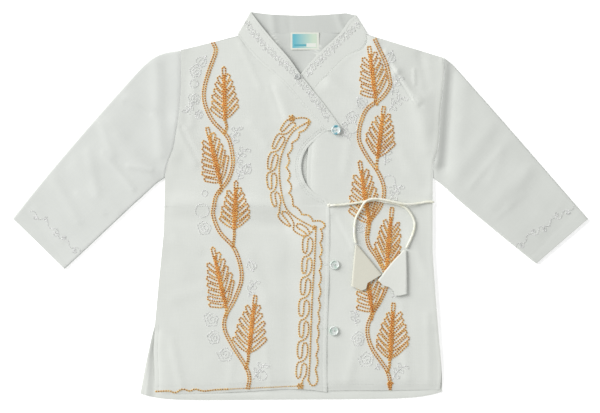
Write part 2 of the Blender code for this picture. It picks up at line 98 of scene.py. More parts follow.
CUTOUT = {"x": 38.5, "y": 46.0, "radius": 37.4, "start_deg": 128.0, "end_deg": 254.0, "steps": 12}
# The over front rises by this much over this run, up to a line that turns in between two heights
LAP_LIFT = 1.0
LAP_RAMP = 22.0
LAP_AT_WAIST = 4.0
LAP_AT_NECK = -15.0
LAP_TURN = (92.0, 116.0)

# Edges of the body, armhole then side seam, down the garment: y, x
LEFT_EDGE = (
    (183.8, -141.3), (143.7, -140.8), (120.1, -142.1), (105.3, -143.7), (76.4, -148.1), (66, -150.2),
    (53, -155.6), (42, -158.9), (33, -159.6), (-31, -161.2), (-93.5, -167.4), (-138.9, -171.5),
)
LEFT_FRONT_SLIT = ((-170.2, -173.4), (-190.3, -172.4), (-213.9, -172.1), (-222.6, -171.4))
LEFT_BACK_SLIT = ((-160.8, -176.8), (-182, -181.5), (-221.9, -189))
RIGHT_EDGE = (
    (174.8, 168.8), (162, 170), (149.9, 169.4), (114.2, 165.4), (74.4, 163.1), (64, 161.3),
    (53, 157.6), (43, 156.4), (33, 156.2), (-54.6, 156), (-111.2, 160), (-156, 163.6),
    (-178.5, 165.8),
)
RIGHT_FRONT_HEM = ((-200.9, 166.3), (-217.2, 164.8))
RIGHT_BACK_HEM = ((-200.9, 167.2), (-219.5, 167.2))
SHOULDER_LEFT = (200, -75.2)
SHOULDER_RIGHT = (202.2, 79)
SLIT_TOP = -140

# Neckband sections: seam x, y, free edge x, y, height of the middle, share of the fronts' ease,
# and the y where the front's own section meets its side
BAND_OVER = (
    (-73.2, 199, -57, 226.6, 2.4, 0, 183.8),
    (-65, 188, -47.5, 214, 2.4, 0.3, 172),
    (-50.3, 172.2, -30.5, 193.3, 2.4, 1, 158),
    (-33.1, 157.5, -13.5, 174, 3, 1, 146),
    (-17.4, 143.3, 0, 155.1, 3.6, 1, 134),
    (-1.9, 125.6, 15.2, 135.6, 3.6, 1, 120),
    (13.5, 107.9, 30, 117, 3.6, 1, 105),
    (31.2, 88.6, 49.9, 89.6, 3.6, 1, 88),
)
BAND_UNDER = (
    (78.8, 201, 63.2, 223, 2.4, 0, 174.8),
    (79.4, 194.4, 57.2, 218.6, 2.4, 0, 168),
    (73.6, 184.6, 48.8, 206.2, 2.2, 0.3, 161),
    (58.2, 177.2, 38.2, 195.4, 2.1, 1, 156),
    (47.4, 168.8, 25.6, 183.9, 2.1, 1, 149),
    (36.2, 157.2, 12.5, 170, 2.1, 1, 141),
    (23.2, 144.7, 0.6, 155.6, 2.1, 1, 132),
    (10, 128.6, -10.2, 143.3, 2.1, 1, 118),
)
BAND_BACK = (
    (-58, 203.7, -44, 226.9, 0.6, 0, 0),
    (-30, 203.7, -28.7, 225.5, 0.6, 0, 0),
    (5, 203.8, 5.5, 224.6, 0.6, 0, 0),
    (38, 204, 34, 225.9, 0.6, 0, 0),
    (66, 204.4, 54, 227.4, 0.6, 0, 0),
)
FOLD_LEFT = {"seam": (-75.2, 201.9), "free": (-59.2, 229.4), "side": -1}
FOLD_RIGHT = {"seam": (79.4, 204), "free": (66, 225.6), "side": 1}
FOLD_STEPS = 12

# Front edges below the neck: x, y, and the y at the side where that section ends
OVER_TIP = (30.9, 88.3, 88)
OVER_EDGE = (
    (32.2, 6.5, 3), (33.4, 0.9, -1), (34.5, -7.5, -8), (34.3, -68.7, -69),
    (31.2, -164.3, -165), (31.5, -220.1, -222.6),
)
UNDER_EDGE = ((9, 107.1, 103), (9, 64.6, 64), (7.3, 24.5, 24), (7.3, -218.6, -217.2))
OVER_HEM_HUMP = 4.2
HUMP_SKEW = 2.8
BACK_NECK_RISE = 2
BACK_HEM_DROP = -8.2
HEM_CORNER_POWER = 8
NECK_DIP_RUN = 30
HEM_DIP_RUN = 40

# Sections of a flat tube: top fold x, y, under fold x, y, loft inside
SLEEVE_LEFT = (
    (-141.8, 183.8, -160.1, 33, 0.3),
    (-165.6, 178.7, -171, 25.1, 1),
    (-183.3, 167.3, -184, 13, 1.6),
    (-208, 141, -200, -1.6, 1.8),
    (-241.4, 103.2, -225, -25, 1.6),
    (-274.4, 65, -247, -45.9, 1.4),
    (-306.8, 26.4, -266.2, -63.8, 1.2),
    (-HALF_SPAN, -14.6, -278, -74.8, 0.9),
)
SLEEVE_RIGHT = (
    (169.3, 174.8, 156.7, 33, 0.1),
    (180, 166.3, 169, 23.2, 0.5),
    (200.2, 143.7, 183.3, 9.8, 1.2),
    (228.4, 111.9, 203, -7.2, 1.6),
    (256.4, 80, 221, -22.2, 1.6),
    (284.3, 48, 239, -37, 1.4),
    (312, 16.2, 259.2, -53.4, 1.2),
    (HALF_SPAN, -15.6, 278.3, -68.6, 0.9),
)
TAB_LEFT = (
    (64.9, -46.4, 67.6, -46.4, 0),
    (62.8, -66, 80, -61, 0.2),
    (60, -94.6, 96, -80.8, 0.4),
)
TAB_LEFT_EDGE = ((0, 0), (0.25, -9.7), (0.4, -9.2), (0.5, -3.6), (0.64, -2.8), (1, 0))
TAB_RIGHT = (
    (121.6, -52.6, 125.2, -52.6, 0),
    (108, -66.5, 125.8, -74, 0.2),
    (94.6, -82.6, 126.4, -103.8, 0.4),
)
TAB_RIGHT_EDGE = ((0, -6), (0.24, -7.8), (0.4, -5.4), (0.6, -6.4), (0.7, -10.8), (0.85, -6.1), (1, 0))
STRAIGHT_EDGE = ((0, 0), (1, 0))

# Largest folds of the body and sleeves, as in the solids: x0, y0, x1, y1, half width, height
BODY_FOLDS = (
    (-146, 1, -104, 0, 9, 1),
    (-60, 2, -32, -2, 8, 0.8),
    (-135, 178, -136, 112, 7, -0.5),
    (-137, 88, -122, 54, 9, 1),
    (-30, 136, -17, 106, 9, 0.9),
    (-74, 116, -44, 94, 12, 0.7),
    (34, 142, 66, 126, 8, 1),
    (100, 178, 113, 158, 8, 0.9),
    (113, 158, 138, 123, 8, 0.9),
    (138, 123, 150, 68, 9, 0.9),
    (170, 164, 162, 72, 9, 1.3),
    (38, -9, 62, -44, 9, 0.9),
    (-120, -70, -130, -205, 18, 0.8),
    (-24, -60, -28, -205, 18, 0.6),
    (84, -96, 92, -205, 18, 0.8),
    (132, -40, 142, -190, 16, 0.7),
)
SLEEVE_FOLDS = {
    "sleeve_left": (
        (-170, 166, -165, 62, 9, 1.2),
        (-203, 126, -176, 114, 8, 0.8),
        (-176, 36, -226, 96, 10, 0.8),
        (-216, -6, -264, 46, 10, 0.7),
    ),
    "sleeve_right": (
        (194, 138, 184, 48, 10, 1.2),
        (180, 30, 224, 92, 10, 0.8),
        (226, -2, 264, 38, 10, 0.7),
    ),
}

# Finer creases: x0, y0, x1, y1, half width, height
CREASES = {
    "front_over": (
        (-142, 186, -144, 105, 13, 0.65),
        (-144, 105, -152, 60, 11, 0.75),
        (-134.5, 180, -135, 112, 7, 0.15),
        (-158, 8, -112, 4, 8, 0.35),
        (-158, -14, -112, -20, 8, -0.35),
        (-84, 4, -20, 0, 8, 0.55),
        (-84, -18, -20, -24, 8, -0.65),
        (-120, -70, -130, -205, 18, -0.55),
        (-140, 92, -118, 48, 3, -0.4),
        (-34, 140, -22, 104, 3, -0.35),
        (-112, 120, -96, 96, 5, 0.3),
        (-126, 150, -128, 96, 5, 0.35),
        (-70, 190, -48, 140, 4, 0.25),
        (-58, 96, -40, 74, 6, 0.35),
        (-146, -40, -120, -52, 7, 0.35),
        (-60, -60, -40, -110, 7, 0.3),
        (-150, -110, -112, -98, 8, 0.3),
        (-20, 12, 6, 30, 4, 0.25),
        (-152, -160, -140, -214, 5, 0.35),
        (-76, -150, -84, -214, 6, 0.3),
        (-40, -170, -36, -214, 5, 0.25),
    ),
    "front_under": (
        (170, 164, 162, 72, 9, -0.85),
        (84, 206, 92, 168, 8, 0.9),
        (96, 206, 102, 150, 38, 1.2),
        (148, 160, 150, 92, 9, 0.5),
        (164, 10, 174, -215, 22, 0.9),
        (150, 186, 164, 176, 6, -0.7),
        (84, 202.6, 93, 198.4, 1.5, -1.1),
        (107.7, 168.6, 133.5, 129.2, 1.4, 0.3),
        (105.4, 165.4, 131, 126, 1.4, -0.3),
        (142, 178, 150, 140, 6, -0.5),
        (100, 180, 114, 158, 4, 0.5),
        (114, 158, 139, 122, 4, 0.5),
        (30, 154, 66, 118, 8, 0.55),
        (96, 182, 116, 154, 3, -0.3),
        (116, 152, 142, 118, 3.2, -0.35),
        (134, 160, 135, 144, 2.4, 0.35),
        (60, 88, 52, 40, 6, 0.3),
        (120, 60, 140, 30, 7, 0.35),
        (108, 24, 150, 12, 5, 0.3),
        (40, -14, 58, -48, 3.4, -0.3),
        (128, -30, 148, -80, 6, 0.3),
        (70, -150, 56, -206, 6, 0.3),
        (120, -120, 126, -206, 6, 0.35),
        (150, -130, 152, -206, 5, 0.3),
    ),
    "sleeve_left": (
        (-142, 186, -146, 100, 12, 0.65),
        (-146, 100, -157, 45, 10, 0.7),
        (-176, 160, -172, 62, 6, -0.1),
        (-205, 122, -178, 109, 3, -0.4),
        (-202, 47, -176, 42, 3.4, 0.4),
        (-198, 20, -232, 62, 4, 0.4),
        (-236, 98, -222, 60, 5, 0.35),
        (-250, 62, -240, 14, 6, 0.35),
        (-290, 30, -262, -18, 6, 0.3),
        (-232, -8, -262, 14, 4, 0.3),
        (-312, -6, -282, -40, 5, 0.25),
    ),
    "sleeve_right": (
        (168, 172, 160, 52, 7, 2.2),
        (194, 138, 184, 48, 11, -0.45),
        (178.5, 154, 169.5, 46, 6, -0.6),
        (200, 22, 236, 66, 4, 0.24),
        (190, 100, 222, 84, 5, 0.21),
        (244, 76, 224, 30, 6, 0.21),
        (270, 44, 246, 0, 6, 0.18),
        (232, -14, 262, 12, 4, 0.18),
        (308, 2, 280, -36, 5, 0.15),
    ),
    "back": (
        (-34, 202, -22, 170, 8, 0.8),
        (18, 186, 10, 158, 7, 0.5),
        (50, 200, 36, 184, 6, -0.6),
        (26, 196, 22, 160, 6, 0.25),
        (-150, -224, -40, -224, 3, 0.2),
        (-177.5, -150, -181, -224, 5, 0.7),
        (-170.5, -150, -174, -224, 4, -0.6),
    ),
    "collar": (
        (-33, 224, -31, 206, 5, 0.9),
        (-14, 226, -12, 206, 3, -0.3),
        (44, 224, 50, 208, 4, 0.8),
    ),
}
CREASE_GAIN = 1.5
LIFE_WIDE = {"size": 40, "height": 0.75}
LIFE_FINE = {"size": 15, "height": 0.10}

# Cord routes: x, y, and the height over the cloth where one passes over the other
TIE_OVER_ROUTE = (
    (35.2, 0.4, 0), (46.8, 1, 0), (58.6, 2.3, 0), (69.2, 3.7, 0), (78.7, 5.6, 0),
    (87.4, 6.6, 0), (94, 5.7, 0), (101.1, 4.4, 0), (110.5, 2.8, 0), (119, 0.2, 0),
    (126.2, -4.3, 0), (131.6, -11.5, 0), (134.8, -20.2, 0), (133.9, -29.3, 0),
    (129.8, -40, 0), (124.6, -50.4, 0),
)
TIE_SIDE_ROUTE = (
    (157.8, 4.2, 0), (150.6, 4.6, 0), (141.2, 3.2, 0.3), (132.6, 2, 1.5), (124.5, 1.9, 2.8),
    (117, 3, 3.2), (108.5, 5, 3.2), (101, 6.6, 3.2), (94, 7.8, 3.2), (87.4, 8.2, 3.2),
    (81, 7.1, 3.2), (75.5, 3.5, 3.1), (71.2, -3.8, 1.4), (67.8, -10, 0.3), (65.3, -15.7, 0),
    (63.7, -26.6, 0), (63.9, -35.6, 0), (65.6, -44.6, 0),
)

# Buttons: x, y, radius, what it is sewn to
BUTTONS = {
    "button_wrap": (42.1, 89.4, BUTTON_RADIUS, "band"),
    "button_mid": (40.6, -69.7, BUTTON_RADIUS, "under"),
    "button_low": (39.6, -147.6, BUTTON_RADIUS, "under"),
    "button_neck": (-3.6, 152.6, TACK_RADIUS, "band"),
}
BUTTONHOLES = (-69.4, -145.2)
BUTTONHOLE_ENDS = (22.6, 31.8)
# Topstitching: how far in from the wrap edge, the under front's hem from x to x at y, and its dart
TOPSTITCH_IN = (4.4, 7.2)
UNDER_HEM = (36.0, 162.0, -210.6)
DART = (((107.7, 168.6), (136, 123)), ((104.4, 166.4), (132.8, 120.8)))
LABEL_AT = (5.2, 194.4)

# Embroidery
LEFT_VINE = (
    (-103.9, 193.8), (-100.1, 185.6), (-100.9, 178.1), (-107.8, 159), (-113, 140.5), (-113.7, 125.4),
    (-109.2, 110.6), (-101.9, 98.4), (-93.6, 90), (-84.7, 78.8), (-80.6, 63), (-79.9, 46.9), (-85.9, 29.6),
    (-98.3, 13.5), (-101.9, 0.3), (-102.7, -12.1), (-94.8, -31.5), (-78.9, -49.2), (-70.8, -70.5), (-70, -90),
    (-78.9, -113), (-87.7, -128.9), (-89.5, -144.8), (-80.6, -164.3), (-64.7, -189.1), (-60.2, -203.2), (-62, -215.4),
)
RIGHT_VINE = (
    (87.9, 196), (93.2, 184.6), (101.1, 167.3), (105.2, 149.9), (105.2, 140.5), (95.9, 127.2), (79.8, 115.4),
    (72.5, 101.8), (69.1, 87), (70.4, 73.7), (79.8, 56.4), (90.5, 41.6), (97.2, 26.9), (98.6, 13.5), (94, -1.5),
    (81.6, -19.2), (78.7, -33.3), (81, -47.5), (90.5, -61.6), (99.9, -79.3), (101.1, -95.9), (94, -112.4),
    (84.3, -128.9), (79, -146.6), (84.3, -167.8), (101.1, -192.6), (105.6, -206.8), (105.6, -214),
)
# Leaves: base x, y, tip x, y, then each side's lowest and highest finger end as shares of the leaf,
# their reach out from the rib, and how many there are; last the stem's points
LEAVES_OVER = (
    (-88.9, 101.2, -90.3, 163.7, (0.24, 0.82, 16, 7, 6), (0.28, 0.86, 15.5, 5.5, 6), ((-87, 93), (-90, 85.5))),
    (-94, 26.9, -110.1, 92.4, (0.14, 0.78, 18.5, 8.5, 7), (0.44, 0.88, 14.5, 6, 5), ((-93, 19), (-95.5, 15))),
    (-77.9, -28, -75.9, 29.2, (0.24, 0.79, 16.5, 9.5, 6), (0.30, 0.86, 17.5, 5.5, 6), ((-78.2, -38), (-79.5, -48))),
    (-87.7, -120, -103.6, -49.2, (0.11, 0.76, 19, 9.5, 7), (0.41, 0.90, 14.6, 6, 5), ((-87, -126), (-88, -130))),
    (-61.2, -174.9, -53.1, -105.9, (0.25, 0.81, 19.4, 8.4, 6), (0.30, 0.84, 17.4, 6, 5),
     ((-62, -184), (-64.5, -192))),
)
LEAVES_UNDER = (
    (88.6, 127.2, 81, 188, (0.15, 0.79, 16.4, 9.8, 6), (0.40, 0.87, 16, 7, 5), ((88.6, 122), (90.6, 119.6))),
    (91.1, 56.4, 98.5, 117.2, (0.34, 0.79, 16.2, 7.6, 5), (0.34, 0.86, 17, 7.6, 6), ((90.2, 50), (90, 43))),
    (81.6, -22.3, 70, 52.8, (0.28, 0.79, 20, 9, 6), (0.36, 0.85, 14, 7.5, 6), ((81, -28), (80, -34))),
    (101.1, -79.3, 108.2, -2, (0.36, 0.80, 15.6, 7.6, 6), (0.34, 0.78, 13.2, 9.6, 6), ((100.6, -84), (100.6, -90))),
    (85.1, -125.4, 75.1, -61.6, (0.14, 0.78, 17, 8.5, 6), (0.40, 0.88, 15, 6.5, 5), ((84.8, -130), (84, -134))),
    (105.6, -182, 109.9, -114.7, (0.25, 0.82, 17.4, 6, 7), (0.32, 0.84, 20, 9.5, 6), ((104.8, -190), (102.6, -196))),
)
UNEVEN = (0.03, -0.07, 0.08, -0.02, 0.05, -0.09, 0, 0.07, -0.05, 0.1, -0.04)
BORDER_SPINE = (
    (9.5, 99.3), (-8.7, 87.4), (-19.3, 68.5), (-24.7, 48.1), (-24, 26.5), (-18.1, -0.3), (-5.8, -13.5), (14.3, -25.1),
)
BORDER_COLUMN = ((18.2, -27.4), (16.7, -64), (13.8, -111.2), (10.8, -189.1), (9.2, -206))
BORDER_TURNS = ((-13, 95), (-26.4, 77.6), (-33.8, 53.8), (-34.9, 30.9), (-29.3, 7), (-18.5, -14.8), (-0.5, -31))
COLUMN_TURNS = ((7.9, -46.4), (6.6, -70.2), (5.2, -95.2), (4, -120.6), (2.6, -145.4), (1.4, -170.8), (0.2, -194.2))
INNER_BORDER = (
    (10.5, 96.3), (4.4, 91.4), (-7.1, 77), (-13.3, 64.6), (-15.6, 48.1), (-12.6, 23.8), (-11, 6.2), (-3.4, -5.6),
    (7.7, -12.5), (19.3, -18.8), (27.9, -20.9),
)
INNER_COLUMN = ((24.9, -27.6), (22.2, -111.2), (18.4, -196))
KNOTS = ((-9.8, 104.4, 3), (16.6, -25.6, 2.4), (-0.6, -213, 3.6))
VINE_KNOT = (105.8, -210.6, 3.1)
VINE_TAIL = ((105.8, -210), (105.9, -216.4))
BORDER_FOOT = ((18.4, -196), (20.2, -204), (18, -211), (12.6, -211.6), (9.2, -205))
BORDER_HEAD = ((-8, 102.4), (-2, 103.6), (5, 103.6), (9.6, 101.6), (11.6, 98.6), (10.5, 96.3))
BORDER_BEND = ((27.9, -20.9), (28.8, -24.6), (24.9, -27.6))
HEM_LINE = (
    (-170.1, -219.2), (-155, -218.6), (-147.9, -220.6), (-138.9, -216.5), (-130.8, -218.6),
    (-124.3, -216.5), (-113.7, -218.6), (-100.7, -217.2), (-86, -216.4),
)
HEM_END = ((-85, -216.4), (-31.1, -214), (-0.6, -212.6))
# How far up its leaf a rib runs
RIB_REACH = 0.84

# White on white: roses x, y, size, turn; rings x, y, size; buds and sprigs x, y, size, aim
WHITES_OVER = {
    "rose": (
        (-104.6, -134, 9.5, 2), (-101.8, -156, 8.5, 1.1), (-88.4, -174.9, 9.6, 3), (-112.5, -26.2, 9, 2),
        (-123.1, 158.3, 8.4, 0.6), (-124.5, 126.4, 7.6, 2.4), (-119.2, 107.3, 5.6, 0.9),
    ),
    "ring": ((-116, -5.9, 8), (-113, 14.5, 3.4), (-125.5, 144, 4.6), (-45.2, -200.4, 5.5)),
    "bud": ((-121, 165, 15, 0.9), (-55.9, -76.7, 14, 1.9), (-66.9, 38, 14, 1)),
    "sprig": (
        (-126, 122, 16, 4), (-79.4, 72, 22, 1.25), (-76.5, 50, 22, 0.9), (-74, 30.9, 20, 1.1),
        (-60.9, -106.7, 20, 1.1), (-55.2, -204.4, 22, 0.9), (-98, -112, 12, 2.6),
    ),
}
WHITES_UNDER = {
    "rose": ((61, 103.6, 8, 0.2), (68.6, -158, 9.2, 0.6), (77.8, -180.6, 9.8, 3.2), (72.8, -26.2, 7, 2.2)),
    "ring": ((104.9, 28.8, 7), (61, 92, 6.5)),
    "bud": ((103.8, 168.6, 15, 1.25), (76.8, 116.6, 15, 2.3)),
    "sprig": (
        (104.4, 112.8, 24, 0.7), (108, 132, 22, 1.1), (99.9, 48.8, 24, 1.3), (106.5, 4.9, 22, 1),
        (58, 78, 20, 2), (66, -140.2, 18, 1.6), (108.8, -204.2, 22, 0.8), (108.4, -108.1, 14, 0.8),
        (88, -192, 12, 0.4),
    ),
}
# Neckband and cuff scrolls: the lines they run along
BAND_SPINES = (
    ((-65, 217.5), (-47.6, 194.6), (-29.9, 177), (-12.7, 161), (-0.6, 147), (17.6, 124), (35, 101.4)),
    ((69.6, 214.6), (51, 198.8), (27.6, 175.6), (6, 154.6)),
)
BAND_PITCH = 12
CUFF_SPINES = {
    "left": ((-319, -6.9), (-303.2, -16.8), (-291.9, -26.4), (-277.7, -41.1), (-260.4, -54)),
    "right": ((322.7, 0.1), (309.2, -9.9), (297, -17.9), (278.1, -31.1), (267.2, -37.9), (255, -48.8)),
}
CUFF_PITCH = 17
CUFF_ROSES = 5

# Camera and light. The frame is 600 by 413 pixels of 1.18 mm at the cloth's top
PIXEL = 1.18
FRAME_PIXELS = (600, 413)
FRAME_MIDDLE = (-0.4, -0.9)
LENS = 200.0
SENSOR = 36.0
CLOTH_TOP = 3.0
ROUND_LIGHT = 0.455
# Each lamp: name, the way it lies, how far off and how wide it is in metres, and the light it gives
LAMPS = (
    ("window_left", (-0.78, 0.42, 0.50), 6.5, 4.6, 3.7),
    ("fill_right", (0.75, -0.35, 0.75), 5.0, 4.0, 0.45),
)
FLOOR_GLOW = 0.4
FLOOR_HALF = 3000.0
FLOOR_LEVEL = -0.4


# Shapes


def smoothstep(low, high, value):
    t = np.clip((value - low) / (high - low), 0.0, 1.0)
    return t * t * (3 - 2 * t)


def smooth_rows(rows, step, corners=()):
    """Points about one step apart on a smooth curve through the rows, straight-ended at corners."""
    rows = np.array(rows, dtype=float)
    out = []
    last = len(rows) - 1
    for i in range(last):
        a, b = rows[i], rows[i + 1]
        before = rows[i - 1] if i > 0 and i not in corners else a
        after = rows[i + 2] if i + 1 < last and i + 1 not in corners else b
        start = (b - before) / (2.0 if before is not a else 1.0)
        end = (after - a) / (2.0 if after is not b else 1.0)
        count = max(1, math.ceil(np.linalg.norm((b - a)[:2]) / step))
        for k in range(count):
            t = k / count
            out.append(
                a * (2 * t**3 - 3 * t**2 + 1)
                + start * (t**3 - 2 * t**2 + t)
                + b * (3 * t**2 - 2 * t**3)
                + end * (t**3 - t**2)
            )
    out.append(rows[last])
    return np.array(out)


def run_along(line):
    """How far along a line each of its points is."""
    return np.r_[0.0, np.cumsum(np.linalg.norm(np.diff(line, axis=0), axis=1))]


def at_run(places, run, line):
    """Points of a line at places along it."""
    return np.stack([np.interp(places, run, line[:, i]) for i in (0, 1)], axis=-1)


def ways(line):
    """The unit way of a line at each of its points."""
    way = np.gradient(line, axis=0)
    return way / np.linalg.norm(way, axis=1)[:, None]


def hump(value, middle, width):
    """A soft hump of height 1."""
    return np.exp(-(((value - middle) / width) ** 2))


def edge_x(edge, y):
    heights = [row[0] for row in edge][::-1]
    places = [row[1] for row in edge][::-1]
    return np.interp(y, heights, places)


def ridges(rows, x, y):
    """Height of the soft folds at x, y, each a ridge along a line and round at its ends."""
    x, y = np.asarray(x, float), np.asarray(y, float)
    total = np.zeros(np.broadcast(x, y).shape)
    for x0, y0, x1, y1, width, height in rows:
        length = math.hypot(x1 - x0, y1 - y0)
        ux, uy = (x1 - x0) / length, (y1 - y0) / length
        t = (x - x0) * ux + (y - y0) * uy
        away = ux * (y - y0) - uy * (x - x0)
        past = np.maximum(np.maximum(-t, t - length), 0.0)
        total += height * np.exp(-((away / width) ** 2) - (past / width) ** 2)
    return total


def life(x, y, shift):
    """The slight unevenness of washed cloth."""
    out = np.empty(len(x))
    for i, (a, b) in enumerate(zip(x, y)):
        wide = noise.noise(Vector((a / LIFE_WIDE["size"], b / LIFE_WIDE["size"], shift)))
        fine = noise.noise(Vector((a / LIFE_FINE["size"], b / LIFE_FINE["size"], shift + 7.0)))
        out[i] = wide * LIFE_WIDE["height"] + fine * LIFE_FINE["height"]
    return out


def ease(x, y):
    return np.maximum(0.0, EASE + ridges(BODY_FOLDS, x, y))


def lap_share(x, y):
    edge = LAP_AT_WAIST + (LAP_AT_NECK - LAP_AT_WAIST) * smoothstep(*LAP_TURN, y)
    return smoothstep(edge - LAP_RAMP, edge, x)


def under_top(x, y):
    return FRONT_BASE + ease(x, y) + WALL


def over_top(x, y):
    return under_top(x, y) + LAP_LIFT * lap_share(x, y)


def back_top(x, y):
    return np.full(np.shape(x), WALL)


def band_top(x, y):
    return FRONT_BASE + ease(x, y) + LAYER + WALL


def new_mesh(name, points, faces):
    mesh = bpy.data.meshes.new(name)
    mesh.from_pydata([Vector(p) * MM for p in points], [], faces)
    mesh.validate()
    mesh.shade_smooth()
    obj = bpy.data.objects.new(name, mesh)
    bpy.context.scene.collection.objects.link(obj)
    return obj


def grid_faces(rows, width, closed=False):
    faces = []
    across = width if closed else width - 1
    for k in range(rows - 1):
        for j in range(across):
            a, b = k * width + j, k * width + (j + 1) % width
            faces.append((a, a + width, b + width, b))
    return faces


def thicken(obj, thickness, offset):
    """Gives a shell its thickness for good."""
    solid = obj.modifiers.new("thickness", "SOLIDIFY")
    solid.thickness = thickness * MM
    solid.offset = offset
    solid.use_even_offset = False
    bpy.context.view_layer.update()
    done = bpy.data.meshes.new_from_object(obj.evaluated_get(bpy.context.evaluated_depsgraph_get()))
    obj.modifiers.clear()
    obj.data = done
    obj.data.shade_smooth()
    obj.data.set_sharp_from_angle(angle=math.radians(60))
    return obj


def side_points(edge, heights):
    return np.stack([edge_x(edge, heights), heights], axis=1)


def sheet_grid(left, right, columns, top_dip=0.0, end_dip=0.0, end_hump=0.0):
    """A sheet lofted between its two edges, with close rows and columns at the hems.

    Each point has x, y, and its distances from the left, right and lower edge.
    """
    left, right = np.array(left, float), np.array(right, float)
    run = run_along((left + right) / 2)
    extra = run[-1] - np.array(HEM_STOPS[::-1])
    kept = run[run < extra[0] - 1.0]
    places = np.r_[kept, extra]
    left, right = at_run(places, run, left), at_run(places, run, right)
    hem = np.array(HEM_STOPS)
    grid = []
    for k in range(len(places)):
        width = np.linalg.norm(right[k] - left[k])
        inner = np.linspace(hem[-1], width - hem[-1], columns + 1)
        at = np.r_[hem[:-1], inner, width - hem[:-1][::-1]]
        u = at / width
        row = left[k][None] * (1 - u)[:, None] + right[k][None] * u[:, None]
        flat_run = 1 - np.abs(2 * u - 1) ** HEM_CORNER_POWER
        near_top = max(0.0, 1 - places[k] / NECK_DIP_RUN)
        near_end = max(0.0, 1 - (places[-1] - places[k]) / HEM_DIP_RUN)
        row[:, 1] += top_dip * flat_run * near_top + end_dip * flat_run * near_end
        row[:, 1] += end_hump * np.sin(np.pi * u**HUMP_SKEW) * near_end
        grid.append(np.c_[row, at, width - at, np.full(len(at), places[-1] - places[k])])
    return np.array(grid)


def hem_profile(distance, depth):
    """A turned hem: a little thicker out to its stitches, which pull a groove."""
    step = HEM_STEP * (1 - smoothstep(depth - 0.9, depth + 0.3, distance))
    groove = HEM_GROOVE[0] * hump(distance, depth, HEM_GROOVE[1])
    return step + groove + HEM_EDGE[0] * hump(distance, 0.0, HEM_EDGE[1])


def seam_profile(distance):
    """Cloth turning down into a seam, with the ridge of its turnings beside it."""
    height, width, place = SEAM_RIDGE
    return SEAM_TURN[0] * hump(distance, 0.0, SEAM_TURN[1]) + height * hump(distance, place, width)


def slit_share(y):
    """How much of a side edge is a hem: nothing above the slit, and all of it further down."""
    return smoothstep(SLIT_TOP, SLIT_TOP - 10, y)


def sheet_piece(name, grid, top, left_hem, right_hem, hem_depth, shift, settle, seams=(1.0, 1.0)):
    """A cloth sheet with its folds, creases and hems. Its free edges settle onto what is below."""
    rows, width, kinds = grid.shape
    x, y, from_left, from_right, from_end = grid.reshape(-1, kinds).T
    hems = (left_hem(y), right_hem(y))
    z = top(x, y) + CREASE_GAIN * ridges(CREASES[name], x, y)
    inner = smoothstep(0.0, CALM_RUN, np.minimum(np.minimum(from_left, from_right), from_end))
    z += life(x, y, shift) * (CALM_SHARE + (1 - CALM_SHARE) * inner)
    for distance, hem, seam in zip((from_left, from_right), hems, seams):
        z += hem * hem_profile(distance, hem_depth) + (1 - hem) * seam * seam_profile(distance)
    z += hem_profile(from_end, hem_depth * 1.6)
    edges = (from_left, from_right, from_end, from_end.max() - from_end)
    for drop, share, distance, run_in in zip(settle, (*hems, 1, 1), edges, SETTLE_RUNS):
        z -= drop * share * hump(distance, 0.0, run_in)
    # No fold presses the cloth down through the floor
    z = np.maximum(z, CLOTH)
    return thicken(new_mesh(name + "_cloth", np.c_[x, y, z], grid_faces(rows, width)), CLOTH, -1.0)


def band_sections(rows, step):
    """Neckband sections, from the seam edge to the free edge."""
    out = []
    for seam_x, seam_y, free_x, free_y, level, soft in smooth_rows(rows, step)[:, :6]:
        low = level + soft * float(ease(seam_x, seam_y))
        high = level + soft * float(ease(free_x, free_y))
        out.append(((seam_x, seam_y, low), (free_x, free_y, high)))
    return out


def neck_rows(table):
    """The front's edge along a neckband seam: x, y, and the y of its section at the side."""
    out = []
    for row in smooth_rows(table, BAND_STEP):
        seam, free = row[:2], row[2:4]
        away = seam + (free - seam) / np.linalg.norm(seam - free) * TUCK
        out.append((away[0], away[1], row[6]))
    return out


def cutout_rows():
    out = []
    for k in range(CUTOUT["steps"] + 1):
        share = k / CUTOUT["steps"]
        angle = math.radians(CUTOUT["start_deg"] + (CUTOUT["end_deg"] - CUTOUT["start_deg"]) * share)
        x = CUTOUT["x"] + CUTOUT["radius"] * math.cos(angle)
        y = CUTOUT["y"] + CUTOUT["radius"] * math.sin(angle)
        out.append((x, y, y))
    return out


def over_rows(step):
    neck = neck_rows(BAND_OVER)
    rows = neck[:-1] + [OVER_TIP] + cutout_rows() + list(OVER_EDGE)
    return smooth_rows(rows, step, corners=(len(neck) - 1,))


def under_rows(step):
    return smooth_rows(neck_rows(BAND_UNDER) + list(UNDER_EDGE), step)


def build_back():
    left = (SHOULDER_LEFT,) + LEFT_EDGE + LEFT_BACK_SLIT
    right = (SHOULDER_RIGHT,) + RIGHT_EDGE + RIGHT_BACK_HEM
    ends = ((SHOULDER_LEFT[0], SHOULDER_RIGHT[0]), (183.8, 186.0), (177.0, 174.8), (-221.9, -219.5))
    rows = smooth_rows(ends, ROW_STEP * 1.5, corners=(1, 2))
    grid = sheet_grid(side_points(left, rows[:, 0]), side_points(right, rows[:, 1]), COLUMNS["back"],
                      top_dip=BACK_NECK_RISE + NECK_TUCK, end_dip=BACK_HEM_DROP)
    return sheet_piece("back", grid, back_top, slit_share, slit_share,
                       hem_depth=4.2, shift=3.0, settle=(0.0, 0.0, 0.0, 0.45))


